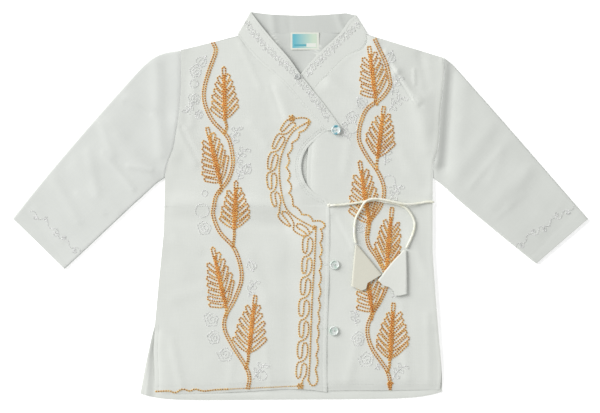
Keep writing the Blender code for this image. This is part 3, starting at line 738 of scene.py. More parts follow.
def build_front_over():
    rows = over_rows(ROW_STEP)
    left = side_points(LEFT_EDGE + LEFT_FRONT_SLIT, rows[:, 2])
    grid = sheet_grid(left, rows[:, :2], COLUMNS["front_over"], end_hump=OVER_HEM_HUMP)
    return sheet_piece("front_over", grid, over_top, slit_share, lambda y: smoothstep(94.0, 86.0, y),
                       hem_depth=4.4, shift=11.0, settle=(1.3, 0.6, 1.5, 0.0), seams=(0.0, 0.6))


def build_front_under():
    rows = under_rows(ROW_STEP)
    right = side_points(RIGHT_EDGE + RIGHT_FRONT_HEM, rows[:, 2])
    grid = sheet_grid(rows[:, :2], right, COLUMNS["front_under"])
    return sheet_piece("front_under", grid, under_top, lambda y: smoothstep(118.0, 106.0, y),
                       lambda y: slit_share(y) * 0.6,
                       hem_depth=4.4, shift=19.0, settle=(0.7, 1.2, 1.75, 0.0), seams=(0.15, 0.6))


def path_at(rows, w):
    rows = np.array(rows, dtype=float)
    run = run_along(rows)
    return at_run(w * run[-1], run, rows)


def armhole_bow(edge, last_y, shift):
    """How far the armhole seam stands off the straight line between its ends."""
    rows = [(x + shift, y) for y, x in edge if y > last_y] + [(float(edge_x(edge, last_y)) + shift, last_y)]
    start, end = np.array(rows[0]), np.array(rows[-1])

    def bow(w):
        w = np.clip(w, 0.0, 1.0)
        return path_at(rows, w) - (start + (end - start) * w[:, None])

    return bow


def flat_tube(name, sections, bow, open_edge, floor, lift, wall, cloth, across, turns, shift):
    """An open tube pressed flat: each ring runs along its lower layer, round a fold, back on top."""
    points = []
    count = len(sections)
    shares, hangs = zip(*open_edge)
    runs = run_along(sections[:, :2])
    for k, (top_x, top_y, under_x, under_y, loft) in enumerate(sections):
        top, under = np.array((top_x, top_y)), np.array((under_x, under_y))
        across_way = (under - top) / np.linalg.norm(under - top)
        out_way = np.array((-across_way[1], across_way[0]))
        width = float(np.linalg.norm(under - top))
        u = k / (count - 1)

        def place(distance):
            w = distance / width
            spot = top + across_way * distance[:, None] + bow(w) * (1 - u) ** 2
            return spot + out_way * (u**4 * np.interp(w, shares, hangs))[:, None]

        def heights(distance):
            spot = place(distance)
            base = floor(spot[:, 0], spot[:, 1])
            low = base + cloth / 2
            high = base + 2 * wall + GAP + loft + np.maximum(0.0, lift(spot[:, 0], spot[:, 1])) - cloth / 2
            high += CREASE_GAIN * ridges(CREASES.get(name, ()), spot[:, 0], spot[:, 1])
            if shift:
                high += life(spot[:, 0], spot[:, 1], shift)
            inner = seam_profile(np.full(len(distance), runs[k])) if shift else 0.0
            rim = hem_profile(np.full(len(distance), runs[-1] - runs[k]), CUFF_DEPTH) if shift else 0.0
            return low, np.maximum(high + inner + rim, low + cloth + 0.15)

        low, high = heights(np.array([cloth, width - cloth]))
        radius = (high - low) / 2
        stops = np.linspace(cloth / 2 + radius[0], width - cloth / 2 - radius[1], across + 1)
        spots = place(stops)
        low, high = heights(stops)
        ring = [(*p, z) for p, z in zip(spots, low)]
        ring += turn_points(place, stops[-1], 1, low[-1], high[-1], turns)
        ring += [(*p, z) for p, z in zip(spots[::-1], high[::-1])]
        ring += turn_points(place, stops[0], -1, low[0], high[0], turns)[::-1]
        points += ring
        size = len(ring)
    return thicken(new_mesh(name + "_cloth", points, grid_faces(count, size, closed=True)), cloth, 0.0)


def turn_points(place, stop, side, low, high, turns):
    """Points up the half circle that joins a tube's two layers beyond a stop."""
    radius = (high - low) / 2
    out = []
    for degrees in turns:
        angle = math.radians(degrees - 90)
        spot = place(np.array([stop + side * radius * math.cos(angle)]))[0]
        out.append((*spot, (low + high) / 2 + radius * math.sin(angle)))
    return out


def build_sleeve(name, table, edge, shift, seed):
    sections = smooth_rows(table, 3.0)
    bow = armhole_bow(edge, table[0][3], shift)
    return flat_tube(name, sections, bow, STRAIGHT_EDGE, lambda x, y: np.zeros(np.shape(x)),
                     lambda x, y: ridges(SLEEVE_FOLDS[name], x, y), WALL, CLOTH, 50, (22.5, 45, 90, 135, 157.5), seed)


def build_tab(name, table, open_edge):
    sections = smooth_rows(table, 1.6)
    return flat_tube(name, sections, lambda w: np.zeros((len(w), 2)), open_edge,
                     lambda x, y: under_top(x, y) + CORD_LIFT, lambda x, y: np.full(np.shape(x), TAB_LOFT),
                     TAB_WALL, TAB_CLOTH, 26, (45, 90, 135), 0)


def band_fold(fold, upper, lower):
    """Sections round one neck fold, from the front's height down to the back's."""
    seam, free = np.array(fold["seam"]), np.array(fold["free"])
    along = (free - seam) / np.linalg.norm(free - seam)
    out_way = np.array((-along[1], along[0])) * -fold["side"]
    radius = (upper - lower) / 2
    out = []
    for k in range(FOLD_STEPS + 1):
        angle = math.pi / 2 - math.pi * k / FOLD_STEPS
        shift = out_way * (radius * math.cos(angle) - radius - WALL / 2)
        z = (upper + lower) / 2 + radius * math.sin(angle)
        out.append(((*(seam + shift), z), (*(free + shift), z)))
    return out


def build_collar():
    upper, lower = BAND_OVER[0][4], BAND_BACK[0][4]
    sections = band_sections(BAND_UNDER, 2.0)[::-1] + band_fold(FOLD_RIGHT, upper, lower)
    sections += band_sections(BAND_BACK, 2.0)[::-1] + band_fold(FOLD_LEFT, upper, lower)[::-1]
    sections += band_sections(BAND_OVER, 2.0)
    shares = np.array(BAND_SHARES)
    pillow = -sum(deep * hump(shares, place, wide) for place, wide, deep in BAND_DIPS)
    points = []
    for seam, free in sections:
        seam, free = np.array(seam), np.array(free)
        for share, puff in zip(shares, pillow):
            p = seam + (free - seam) * share
            shift = 0.1 + puff + float(ridges(CREASES["collar"], p[0], p[1])) * (p[2] < 2.0)
            if p[0] < 0.0 and p[2] > 2.0:
                standing = float(smoothstep(*BAND_RISE_LOW, p[1]) * smoothstep(*BAND_RISE_HIGH, p[1]))
                shift += BAND_RISE * share**2 * standing
            points.append((p[0], p[1], max(p[2] + shift, BAND_CLOTH / 2)))
    faces = grid_faces(len(sections), len(shares))
    return thicken(new_mesh("collar_cloth", points, faces), BAND_CLOTH, 0.0)


# Stitches


def surface_of(obj):
    """What stitches lie on: the faces of a piece."""
    points = [v.co.copy() for v in obj.data.vertices]
    return BVHTree.FromPolygons(points, [list(p.vertices) for p in obj.data.polygons])


def laid(surface, line, lift=0.0):
    """The points of a line dropped on a surface, with the way the cloth faces there."""
    out = []
    for x, y in line:
        spot, normal, _, _ = surface.ray_cast(Vector((x * MM, y * MM, 0.05)), Vector((0, 0, -1)))
        if spot is not None:
            out.append((spot + normal * lift * MM, normal if normal.z > 0 else -normal))
    return out


def even(line, step):
    """A polyline's points again, one step apart."""
    line = np.array(line, float)
    run = run_along(line)
    return at_run(np.linspace(0.0, run[-1], max(2, round(run[-1] / step) + 1)), run, line)


def curve(points, step=1.0):
    return even(smooth_rows(points, step), step)


def aside_of(line):
    """The unit way to the left of a line at each of its points."""
    way = ways(line)
    return np.c_[-way[:, 1], way[:, 0]]


def beside(line, distance):
    """A line a constant distance to the left of another."""
    line = np.array(line, float)
    return line + aside_of(line) * distance


def loop_stitch(length, width, thread, eye, sides=3, steps=8):
    """One chain stitch: a loop of thread round a raised dark dot at its eye. The dot is painted shadow of the loop's
    hollow, and the loop's tone, lightest at its ends, is painted shade and highlight on the thread.
    """
    points, tones = [], []
    for k in range(steps):
        a = 2 * math.pi * k / steps
        x, y = math.cos(a), math.sin(a)
        middle = np.array((x * length / 2, y * width / 2 * (0.78 + 0.22 * x), thread * (0.8 + 0.4 * (1 - x * x))))
        way = np.array((-y * length / 2, x * width / 2, 0.0))
        way /= np.linalg.norm(way)
        out = np.array((way[1], -way[0], 0.0))
        for j in range(sides):
            b = 2 * math.pi * j / sides + math.pi / 2
            points.append(middle + (out * math.cos(b) + np.array((0, 0, 1.0)) * math.sin(b)) * thread)
            # Painted shade and highlight: the loop is darker at its sides and lightest at its ends
            tones.append(0.2 + 0.8 * abs(x))
    faces = []
    for k in range(steps):
        for j in range(sides):
            a, b = k * sides + j, k * sides + (j + 1) % sides
            c, d = ((k + 1) % steps) * sides + (j + 1) % sides, ((k + 1) % steps) * sides + j
            faces.append((a, d, c, b))
    # A raised dark dot in the eye: painted shadow where the loop is hollow
    start = len(points)
    for k in range(6):
        a = math.pi * k / 3
        points.append(np.array((math.cos(a) * eye[0] / 2, math.sin(a) * eye[1] / 2, thread * 1.2)))
        tones.append(0.0)
    points.append(np.array((0.0, 0.0, thread * 2.9)))
    tones.append(0.0)
    faces += [(start + k, start + (k + 1) % 6, start + 6) for k in range(6)]
    return stitch_shape("loop_stitch", points, faces, tones)


def run_stitch(length, thread):
    """One running stitch: a short bar of thread that dives into the cloth at both ends."""
    points, tones = [], []
    sides = 4
    rings = ((0.0, -0.7, 0.6), (0.16, 0.55, 1.0), (0.5, 0.9, 1.0), (0.84, 0.55, 1.0), (1.0, -0.7, 0.6))
    for share, high, thick in rings:
        for j in range(sides):
            b = 2 * math.pi * j / sides
            points.append(np.array(((share - 0.5) * length, math.cos(b) * thread * thick,
                                    thread * high + math.sin(b) * thread * thick)))
            # Tone darkest at the ends: painted shade where the thread dives into the cloth
            tones.append(1 - abs(2 * share - 1))
    faces = []
    for k in range(4):
        for j in range(sides):
            a, b = k * sides + j, k * sides + (j + 1) % sides
            faces.append((a, b, b + sides, a + sides))
    faces += [(3, 2, 1, 0), (16, 17, 18, 19)]
    return stitch_shape("run_stitch", points, faces, tones)


def stitch_shape(name, points, faces, tones):
    obj = new_mesh(name, points, faces)
    tone = obj.data.attributes.new("along", "FLOAT", "POINT")
    tone.data.foreach_set("value", np.array(tones, np.float32))
    return obj


def stitch_tree():
    """Geometry nodes that set one stitch after another along lines, lying as the cloth lies."""
    tree = bpy.data.node_groups.new("stitches_along_lines", "GeometryNodeTree")
    tree.interface.new_socket("Geometry", in_out="OUTPUT", socket_type="NodeSocketGeometry")
    for name, kind in (("Geometry", "Geometry"), ("Stitch", "Object"), ("Pitch", "Float"), ("Unevenness", "Float"),
                       ("Thread", "Material"), ("Seed", "Int")):
        tree.interface.new_socket(name, in_out="INPUT", socket_type="NodeSocket" + kind)
    nodes, links = tree.nodes, tree.links

    def add(kind, **values):
        node = nodes.new(kind)
        for key, value in values.items():
            setattr(node, key, value)
        return node

    given = add("NodeGroupInput")
    lines = add("GeometryNodeMeshToCurve")
    spaced = add("GeometryNodeResampleCurve", mode="LENGTH")
    lie = add("GeometryNodeInputNamedAttribute", data_type="FLOAT_VECTOR")
    lie.inputs["Name"].default_value = "lie"
    tangent = add("GeometryNodeInputTangent")
    face_up = add("FunctionNodeAlignRotationToVector", axis="Z")
    face_on = add("FunctionNodeAlignRotationToVector", axis="X", pivot_axis="Z")
    swing = add("FunctionNodeRandomValue", data_type="FLOAT")
    swing_low = add("ShaderNodeMath", operation="MULTIPLY")
    swing_low.inputs[1].default_value = -1.0
    yaw = add("ShaderNodeCombineXYZ")
    to_turn = add("FunctionNodeEulerToRotation")
    turned = add("FunctionNodeRotateRotation", rotation_space="LOCAL")
    grow = add("FunctionNodeRandomValue", data_type="FLOAT")
    grow_low = add("ShaderNodeMath", operation="SUBTRACT")
    grow_low.inputs[0].default_value = 1.0
    grow_high = add("ShaderNodeMath", operation="ADD")
    grow_high.inputs[0].default_value = 1.0
    shape = add("GeometryNodeObjectInfo", transform_space="ORIGINAL")
    place = add("GeometryNodeInstanceOnPoints")
    shade = add("FunctionNodeRandomValue", data_type="FLOAT")
    keep = add("GeometryNodeStoreNamedAttribute", data_type="FLOAT", domain="INSTANCE")
    keep.inputs["Name"].default_value = "shade"
    real = add("GeometryNodeRealizeInstances")
    dyed = add("GeometryNodeSetMaterial")
    out = add("NodeGroupOutput")

    def float_in(node, name):
        return next(s for s in node.inputs if s.name == name and s.type == "VALUE" and s.enabled)

    def float_out(node):
        return next(s for s in node.outputs if s.enabled and s.type == "VALUE")

    links.new(given.outputs["Geometry"], lines.inputs["Mesh"])
    links.new(lines.outputs["Curve"], spaced.inputs["Curve"])
    links.new(given.outputs["Pitch"], spaced.inputs["Length"])
    links.new(next(s for s in lie.outputs if s.enabled and s.type == "VECTOR"), face_up.inputs["Vector"])
    links.new(face_up.outputs["Rotation"], face_on.inputs["Rotation"])
    links.new(tangent.outputs["Tangent"], face_on.inputs["Vector"])
    links.new(given.outputs["Unevenness"], float_in(swing, "Max"))
    links.new(given.outputs["Unevenness"], swing_low.inputs[0])
    links.new(swing_low.outputs[0], float_in(swing, "Min"))
    links.new(float_out(swing), yaw.inputs["Z"])
    links.new(yaw.outputs["Vector"], to_turn.inputs["Euler"])
    links.new(face_on.outputs["Rotation"], turned.inputs["Rotation"])
    links.new(to_turn.outputs["Rotation"], turned.inputs["Rotate By"])
    links.new(given.outputs["Unevenness"], grow_low.inputs[1])
    links.new(given.outputs["Unevenness"], grow_high.inputs[1])
    links.new(grow_low.outputs[0], float_in(grow, "Min"))
    links.new(grow_high.outputs[0], float_in(grow, "Max"))
    for random in (swing, grow, shade):
        links.new(given.outputs["Seed"], random.inputs["Seed"])
    links.new(given.outputs["Stitch"], shape.inputs["Object"])
    links.new(spaced.outputs["Curve"], place.inputs["Points"])
    links.new(shape.outputs["Geometry"], place.inputs["Instance"])
    links.new(turned.outputs["Rotation"], place.inputs["Rotation"])
    links.new(float_out(grow), place.inputs["Scale"])
    links.new(place.outputs["Instances"], keep.inputs["Geometry"])
    links.new(float_out(shade), float_in(keep, "Value"))
    links.new(keep.outputs["Geometry"], real.inputs["Geometry"])
    links.new(real.outputs["Geometry"], dyed.inputs["Geometry"])
    links.new(given.outputs["Thread"], dyed.inputs["Material"])
    links.new(dyed.outputs["Geometry"], out.inputs["Geometry"])
    return tree


def sew(name, lines, stitch, pitch, unevenness, thread, seed):
    """A piece made of stitches along laid lines."""
    points, edges, lies = [], [], []
    for line in lines:
        if len(line) < 2:
            continue
        start = len(points)
        points += [spot for spot, _ in line]
        lies += [tuple(normal) for _, normal in line]
        edges += [(start + i, start + i + 1) for i in range(len(line) - 1)]
    mesh = bpy.data.meshes.new(name + "_lines")
    mesh.from_pydata(points, edges, [])
    lie = mesh.attributes.new("lie", "FLOAT_VECTOR", "POINT")
    lie.data.foreach_set("vector", np.array(lies, np.float32).ravel())
    guide = bpy.data.objects.new(name + "_lines", mesh)
    bpy.context.scene.collection.objects.link(guide)
    made = guide.modifiers.new("stitches", "NODES")
    made.node_group = STITCHES
    values = {"Stitch": stitch, "Pitch": pitch * MM, "Unevenness": unevenness, "Thread": thread, "Seed": seed}
    for item in STITCHES.interface.items_tree:
        if item.in_out == "INPUT" and item.name in values:
            made[item.identifier] = values[item.name]
    bpy.context.view_layer.update()
    sewn = bpy.data.meshes.new_from_object(guide.evaluated_get(bpy.context.evaluated_depsgraph_get()))
    sewn.shade_smooth()
    obj = bpy.data.objects.new(name, sewn)
    bpy.context.scene.collection.objects.link(obj)
    bpy.data.objects.remove(guide)
    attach(obj, "root")
    return obj


# Motifs, made by rule: a leaf of looped fingers, a scroll, a rose and a small fan


def finger(root, end, width, bend):
    """A narrow loop out from a rib, round at its end, and back."""
    root, end = np.array(root, float), np.array(end, float)
    length = float(np.linalg.norm(end - root))
    way = (end - root) / length
    aside = np.array((-way[1], way[0]))
    half = min(width / 2, length * 0.3)

    def spot(along, off):
        rise = bend * 4 * (along / length) * (1 - along / length)
        return root + way * along + aside * (off + rise)

    straight = length - half
    out = [spot(0.0, half * 0.35), spot(length * 0.35, half * 0.85), spot(straight, half)]
    out += [spot(straight + half * math.sin(a), half * math.cos(a)) for a in np.radians((35, 70, 110, 145))]
    out += [spot(straight, -half), spot(length * 0.35, -half * 0.85), spot(0.0, -half * 0.35)]
    return curve(out, 0.6)


def leaf_side(base, tip, side, low, high, reach_low, reach_high, count, uneven):
    """The looped fingers up one side of a leaf. Low and high are shares of its length."""
    base, tip = np.array(base, float), np.array(tip, float)
    length = float(np.linalg.norm(tip - base))
    up = (tip - base) / length
    aside = np.array((up[1], -up[0])) * side
    roots, ends = [], []
    for k in range(count):
        t = k / (count - 1)
        reach = (reach_low + (reach_high - reach_low) * t**1.5) * (1 + uneven[k % len(uneven)] * 0.6)
        ends.append(base + up * length * (low + (high - low) * t) + aside * reach)
        roots.append(base + up * length * (0.03 + (high - 0.20) * t))
    out = []
    for k in range(count):
        way = (ends[k] - roots[k]) / np.linalg.norm(ends[k] - roots[k])
        across = np.array((-way[1], way[0]))
        beside_it = ends[k + 1] - ends[k] if k + 1 < count else ends[k] - ends[k - 1]
        width = float(np.clip(abs(beside_it @ across) * 0.74, 2.6, 4.4))
        out.append(finger(roots[k], ends[k], width, -0.05 * side * float(np.linalg.norm(ends[k] - roots[k]))))
    return out


def leaf_lines(base, tip, left, right, uneven):
    """A feather leaf: looped fingers up both sides of its rib, and one long loop at its tip."""
    out = leaf_side(base, tip, -1, *left, uneven) + leaf_side(base, tip, 1, *right, uneven[3:] + uneven[:3])
    base, tip = np.array(base, float), np.array(tip, float)
    return out + [finger(base + (tip - base) * 0.70, tip, 3.7, 0.0)]


def rib_lines(base, tip, width):
    """The rib: three rows side by side under a close zigzag, widest at the middle of the leaf."""
    base, tip = np.array(base, float), np.array(tip, float)
    length = float(np.linalg.norm(tip - base))
    up = (tip - base) / length
    aside = np.array((up[1], -up[0]))
    reach = length * RIB_REACH
    count = round(reach / 1.3)
    zigzag = []
    for k in range(count + 1):
        t = k / count
        half = width / 2 * (0.28 + 0.95 * math.sin(math.pi * min(1.0, 0.10 + 0.86 * t)))
        zigzag.append(base + up * reach * t + aside * (half if k % 2 else -half))
    rows = [even(zigzag, 0.5), even([base, base + up * reach], 0.7)]
    for side in (-1, 1):
        rows.append(curve([base + up * reach * t + aside * side * width * 0.30 * math.sin(math.pi * t)
                           for t in (0.12, 0.35, 0.6, 0.9)], 0.7))
    return rows


# One turn of the border's running line: along the spine, and out from it
MEANDER = (
    (0.04, 0.60), (0.08, 0.84), (0.24, 1.0), (0.52, 1.02), (0.78, 0.96), (0.90, 0.80), (0.84, 0.64), (0.66, 0.57),
    (0.40, 0.56), (0.20, 0.50), (0.13, 0.34), (0.22, 0.16), (0.45, 0.10), (0.72, 0.14), (0.92, 0.32),
)


def meander_line(spine, middles, reach, inner, middle, lead=(), tail=()):
    """A running line that turns down, up and down again at each middle, to the right of a spine."""
    spine = even(spine, 0.5)
    run = np.arange(len(spine)) * 0.5
    way = ways(spine)
    places = [run[np.argmin(np.linalg.norm(spine - np.array(m), axis=1))] for m in middles]
    points = list(lead)
    for k, at in enumerate(places):
        before = at - places[k - 1] if k else places[1] - at
        after = places[k + 1] - at if k + 1 < len(places) else before
        for u, v in MEANDER:
            spot = at + (u - 0.5) * (before if u < 0.5 else after)
            on, aim = at_run(spot, run, spine), at_run(spot, run, way)
            out = reach * np.interp(v, (0.10, 0.57, 1.0, 1.1), (inner, middle, 1.0, 1.1))
            points.append(on + np.array((aim[1], -aim[0])) * out * (1 + UNEVEN[(k * 3) % len(UNEVEN)] * 0.5))
    return curve(points + list(tail), 0.6)


def wave_line(spine, pitch, height, offset):
    """A line of small scallops that bulge away from a spine and come back to it in points."""
    spine = even(spine, 0.5)
    run = np.arange(len(spine)) * 0.5
    bulge = np.abs(np.sin(np.pi * run / pitch)) ** 0.8 * height
    return even(spine + aside_of(spine) * (offset + bulge)[:, None], 0.7)


def winding_line(base, pitch, reach):
    """A line that winds from side to side along a base whose points are half a millimetre apart."""
    swing = np.sin(np.arange(len(base)) * 0.5 * 2 * math.pi / pitch) * reach
    return even(base + aside_of(base) * swing[:, None], 0.7)


def rose(x, y, radius, turn, turns=2.4):
    """A spiral rose."""
    out = []
    count = 46
    for k in range(count + 1):
        t = k / count
        angle = turn + 2 * math.pi * turns * t
        r = radius * (1 - 0.86 * t) * (1 + 0.10 * math.sin(5 * angle))
        out.append((x + r * math.cos(angle), y + r * math.sin(angle)))
    return even(out, 0.7)


def bud(x, y, size, aim):
    """A closed flower: nested lines that leave one point and bend together again."""
    out = []
    ux, uy = math.cos(aim), math.sin(aim)
    for bulge in (-0.42, -0.16, 0.12, 0.40):
        points = []
        for t in np.linspace(0.0, 1.0, 7):
            along = size * t * (1 - 0.18 * abs(bulge))
            aside = size * bulge * math.sin(math.pi * t**0.8) * (1.0 if t < 0.95 else 0.8)
            points.append((x + ux * along - uy * aside, y + uy * along + ux * aside))
        out.append(curve(points, 0.7))
    return out


def sprig(x, y, size, aim):
    """A bent stem with small looped leaves on both sides."""
    ux, uy = math.cos(aim), math.sin(aim)

    def spot(t):
        aside = size * 0.10 * math.sin(math.pi * t)
        return np.array((x + ux * size * t - uy * aside, y + uy * size * t + ux * aside))

    out = [curve([spot(t) for t in (0.0, 0.35, 0.7, 1.0)], 0.7)]
    for k, share in enumerate((0.12, 0.30, 0.48, 0.66, 0.84)):
        side = 1 if k % 2 else -1
        way = np.array((ux * 0.62 - uy * side * 0.78, uy * 0.62 + ux * side * 0.78)) * size * 0.32
        out.append(finger(spot(share), spot(share) + way, 3.2, 0.0))
    return out


def ring(x, y, radius):
    angles = np.linspace(0, 2 * math.pi, 25)
    return even([(x + radius * math.cos(a), y + radius * math.sin(a)) for a in angles], 0.7)


def vine_lines(points):
    middle = curve(points, 0.8)
    return [beside(middle, 1.45), beside(middle, -1.45)]


def embroider_panel(side, vine, leaves, surface, seed):
    outline, ribs = [], []
    for line in vine_lines(vine):
        outline.append(laid(surface, line))
    for i, (bx, by, tx, ty, left, right, stem) in enumerate(leaves):
        for line in leaf_lines((bx, by), (tx, ty), left, right, UNEVEN[i:] + UNEVEN[:i]):
            outline.append(laid(surface, line))
        for line in rib_lines((bx, by), (tx, ty), 4.4):
            ribs.append(laid(surface, line, 0.15))
        stem_line = curve([(bx, by)] + list(stem), 0.8)
        outline += [laid(surface, beside(stem_line, 0.8)), laid(surface, beside(stem_line, -0.8))]
    sew(f"leaf_chain_{side}", outline, chain, 2.85, 0.07, gold, seed)
    sew(f"leaf_ribs_{side}", ribs, close_chain, 2.65, 0.16, rust, seed + 1)


def white_lines(places):
    out = [rose(*place) for place in places["rose"]] + [ring(*place) for place in places["ring"]]
    for place in places["bud"]:
        out += bud(*place)
    for place in places["sprig"]:
        out += sprig(*place)
    return out


# Finishes


def node_material(name, color, roughness, sheen=0.0, coat=0.0):
    made = bpy.data.materials.new(name)
    made.use_nodes = True
    shader = made.node_tree.nodes["Principled BSDF"]
    shader.inputs["Base Color"].default_value = (*color, 1.0)
    shader.inputs["Roughness"].default_value = roughness
    shader.inputs["Sheen Weight"].default_value = sheen
    shader.inputs["Coat Weight"].default_value = coat
    return made, made.node_tree, shader


def wired(tree, kind, inputs=None, **values):
    """A node with its settings, and its inputs set or linked."""
    node = tree.nodes.new(kind)
    for key, value in values.items():
        setattr(node, key, value)
    for key, value in (inputs or {}).items():
        if isinstance(value, bpy.types.NodeSocket):
            tree.links.new(value, node.inputs[key])
        else:
            node.inputs[key].default_value = value
    return node


def place_on(tree):
    return wired(tree, "ShaderNodeTexCoord").outputs["Object"]


def reckon(tree, operation, *values):
    return wired(tree, "ShaderNodeMath", dict(enumerate(values)), operation=operation).outputs[0]


def clouds(tree, vector, scale, detail, distortion=0.0):
    """Soft patches."""
    inputs = {"Vector": vector, "Scale": scale, "Detail": detail, "Distortion": distortion}
    return wired(tree, "ShaderNodeTexNoise", inputs).outputs["Fac"]


def bands(tree, vector, scale, way, distortion=0.0):
    """Fine bands side by side."""
    inputs = {"Vector": vector, "Scale": scale, "Distortion": distortion, "Detail": 1.0}
    return wired(tree, "ShaderNodeTexWave", inputs, bands_direction=way).outputs["Fac"]


def stretched(tree, value, low, high):
    """A value from low to high as a share from 0 to 1."""
    return wired(tree, "ShaderNodeMapRange", {"Value": value, "From Min": low, "From Max": high}).outputs["Result"]


def blend(tree, share, first, second):
    """From one colour to another by a share. Each is three numbers or an output."""
    mix = wired(tree, "ShaderNodeMix", {0: share}, data_type="RGBA")
    for socket, value in zip([s for s in mix.inputs if s.type == "RGBA"], (first, second)):
        if isinstance(value, bpy.types.NodeSocket):
            tree.links.new(value, socket)
        else:
            socket.default_value = (*value, 1.0)
    return next(s for s in mix.outputs if s.type == "RGBA")


def ramp(tree, share, stops):
    """Colours along a share, each stop a place and a colour."""
    node = wired(tree, "ShaderNodeValToRGB", {"Fac": share})
    elements = node.color_ramp.elements
    for i, (position, color) in enumerate((stops[0], stops[-1])):
        elements[i].position = position
        elements[i].color = (*color, 1.0)
    for position, color in stops[1:-1]:
        elements.new(position).color = (*color, 1.0)
    return node.outputs["Color"]


def relief(tree, height, strength, depth):
    """A fine relief, its depth in metres."""
    inputs = {"Height": height, "Strength": strength, "Distance": depth}
    return wired(tree, "ShaderNodeBump", inputs).outputs["Normal"]


def dress(tree, shader, color, normal=None):
    tree.links.new(color, shader.inputs["Base Color"])
    if normal:
        tree.links.new(normal, shader.inputs["Normal"])


def cotton_material(name, light, dark, turn):
    """Plain-woven cotton: fine warp and weft, slubs in both ways, and faint wear in its colour."""
    made, tree, shader = node_material(name, light, 0.82, sheen=0.18)
    shader.inputs["Sheen Roughness"].default_value = 0.5
    place = place_on(tree)
    turned = wired(tree, "ShaderNodeMapping", {"Vector": place, "Rotation": (0, 0, math.radians(turn))})
    slubs, weave = [], []
    for way, scale in (("X", (60, 1400, 60)), ("Y", (1400, 60, 60))):
        drawn = wired(tree, "ShaderNodeMapping", {"Vector": turned.outputs["Vector"], "Scale": scale})
        slubs.append(clouds(tree, drawn.outputs["Vector"], 1.0, 2.0))
        weave.append(bands(tree, turned.outputs["Vector"], 320.0, way, 0.6))
    both = reckon(tree, "ADD", *slubs)
    wear = reckon(tree, "MULTIPLY_ADD", both, 0.5, clouds(tree, place, 18.0, 3.0))
    high = reckon(tree, "MULTIPLY_ADD", reckon(tree, "MULTIPLY", *weave), 0.35, both)
    dress(tree, shader, blend(tree, stretched(tree, wear, 0.7, 1.3), dark, light), relief(tree, high, 0.35, 0.00012))
    return made


def thread_material(name, stops, roughness, sheen, gains=(1.0, 0.4, 0.4)):
    """Embroidery thread: each stitch darkest at its eye and lightest at its loop's ends, painted shadow and
    highlight, and no two quite alike.

    Gains are how much the place in the stitch, the stitch and the patch of cloth each count.
    """
    made, tree, shader = node_material(name, stops[-1][1], roughness, sheen=sheen)
    along = wired(tree, "ShaderNodeAttribute", attribute_name="along").outputs["Fac"]
    shade = wired(tree, "ShaderNodeAttribute", attribute_name="shade").outputs["Fac"]
    place = place_on(tree)
    tone = reckon(tree, "MULTIPLY", along, gains[0])
    tone = reckon(tree, "MULTIPLY_ADD", shade, gains[1], tone)
    tone = reckon(tree, "MULTIPLY_ADD", clouds(tree, place, 55.0, 2.0), gains[2], tone)
    dress(tree, shader, ramp(tree, stretched(tree, tone, 0.2, 1.25), stops),
          relief(tree, clouds(tree, place, 2600.0, 1.0), 0.4, 0.0001))
    return made


def satin_material():
    """Ivory satin wound slantwise round a cord."""
    made, tree, shader = node_material("ivory_satin", (0.86, 0.86, 0.76), 0.34, sheen=0.25, coat=0.1)
    wound = wired(tree, "ShaderNodeAttribute", attribute_name="wound").outputs["Vector"]
    stops = ((0.3, (0.76, 0.76, 0.62)), (0.7, (0.90, 0.90, 0.82)))
    dress(tree, shader, ramp(tree, clouds(tree, place_on(tree), 90.0, 2.0), stops),
          relief(tree, bands(tree, wound, 1.0, "DIAGONAL", 0.8), 0.35, 0.0002))
    return made


def pearl_material(name, low, middle, high, scale, seed):
    """Shell-like button plastic with soft patches of colour."""
    made, tree, shader = node_material(name, middle, 0.14, coat=0.6)
    shader.inputs["Coat Roughness"].default_value = 0.05
    shader.inputs["Transmission Weight"].default_value = 0.15
    moved = wired(tree, "ShaderNodeMapping", {"Vector": place_on(tree), "Location": (seed, seed * 0.7, 0)})
    patches = clouds(tree, moved.outputs["Vector"], scale, 1.5, 0.6)
    dress(tree, shader, ramp(tree, patches, ((0.34, low), (0.5, middle), (0.66, high))))
    return made


def label_material():
    """A woven label: pale selvedge, a field that fades from blue to pale green, a light and a dark bar."""
    made, tree, shader = node_material("woven_label", (0.3, 0.62, 0.74), 0.55, sheen=0.2)
    place = place_on(tree)
    middle = wired(tree, "ShaderNodeMapping", {"Vector": place,
                                               "Location": (-LABEL_AT[0] * MM, -LABEL_AT[1] * MM, 0)})
    parts = wired(tree, "ShaderNodeSeparateXYZ", {"Vector": middle.outputs["Vector"]}).outputs

    def inside(low_x, high_x, low_y, high_y):
        """1 within a rectangle in millimetres, and 0 outside."""
        tests = [reckon(tree, operation, parts[axis], edge * MM) for axis, operation, edge in (
            ("X", "GREATER_THAN", low_x), ("X", "LESS_THAN", high_x),
            ("Y", "GREATER_THAN", low_y), ("Y", "LESS_THAN", high_y),
        )]
        whole = tests[0]
        for test in tests[1:]:
            whole = reckon(tree, "MULTIPLY", whole, test)
        return whole

    stops = ((0.0, (0.14, 0.48, 0.57)), (1.0, (0.60, 0.72, 0.58)))
    field = ramp(tree, stretched(tree, parts["X"], -0.012, 0.010), stops)
    color = blend(tree, inside(-14.6, 14.2, -8.2, 8.4), (0.74, 0.76, 0.68), field)
    color = blend(tree, inside(2.0, 13.4, -7.0, -2.6), color, (0.78, 0.80, 0.74))
    color = blend(tree, inside(-12.6, 2.0, -6.0, -3.8), color, (0.10, 0.40, 0.48))
    dress(tree, shader, color, relief(tree, bands(tree, place, 700.0, "Y"), 0.4, 0.0001))
    return made


# Cords, buttons and trims


def cord_points(route):
    rows = smooth_rows(route, 1.0)
    run = run_along(rows[:, :2])
    at = np.linspace(0.0, run[-1], round(run[-1] / 0.9) + 1)
    x, y, over = (np.interp(at, run, rows[:, c]) for c in range(3))
    z = under_top(x, y) + CORD_LIFT + CORD_DIAMETER / 2 + over
    return np.c_[x, y, z]


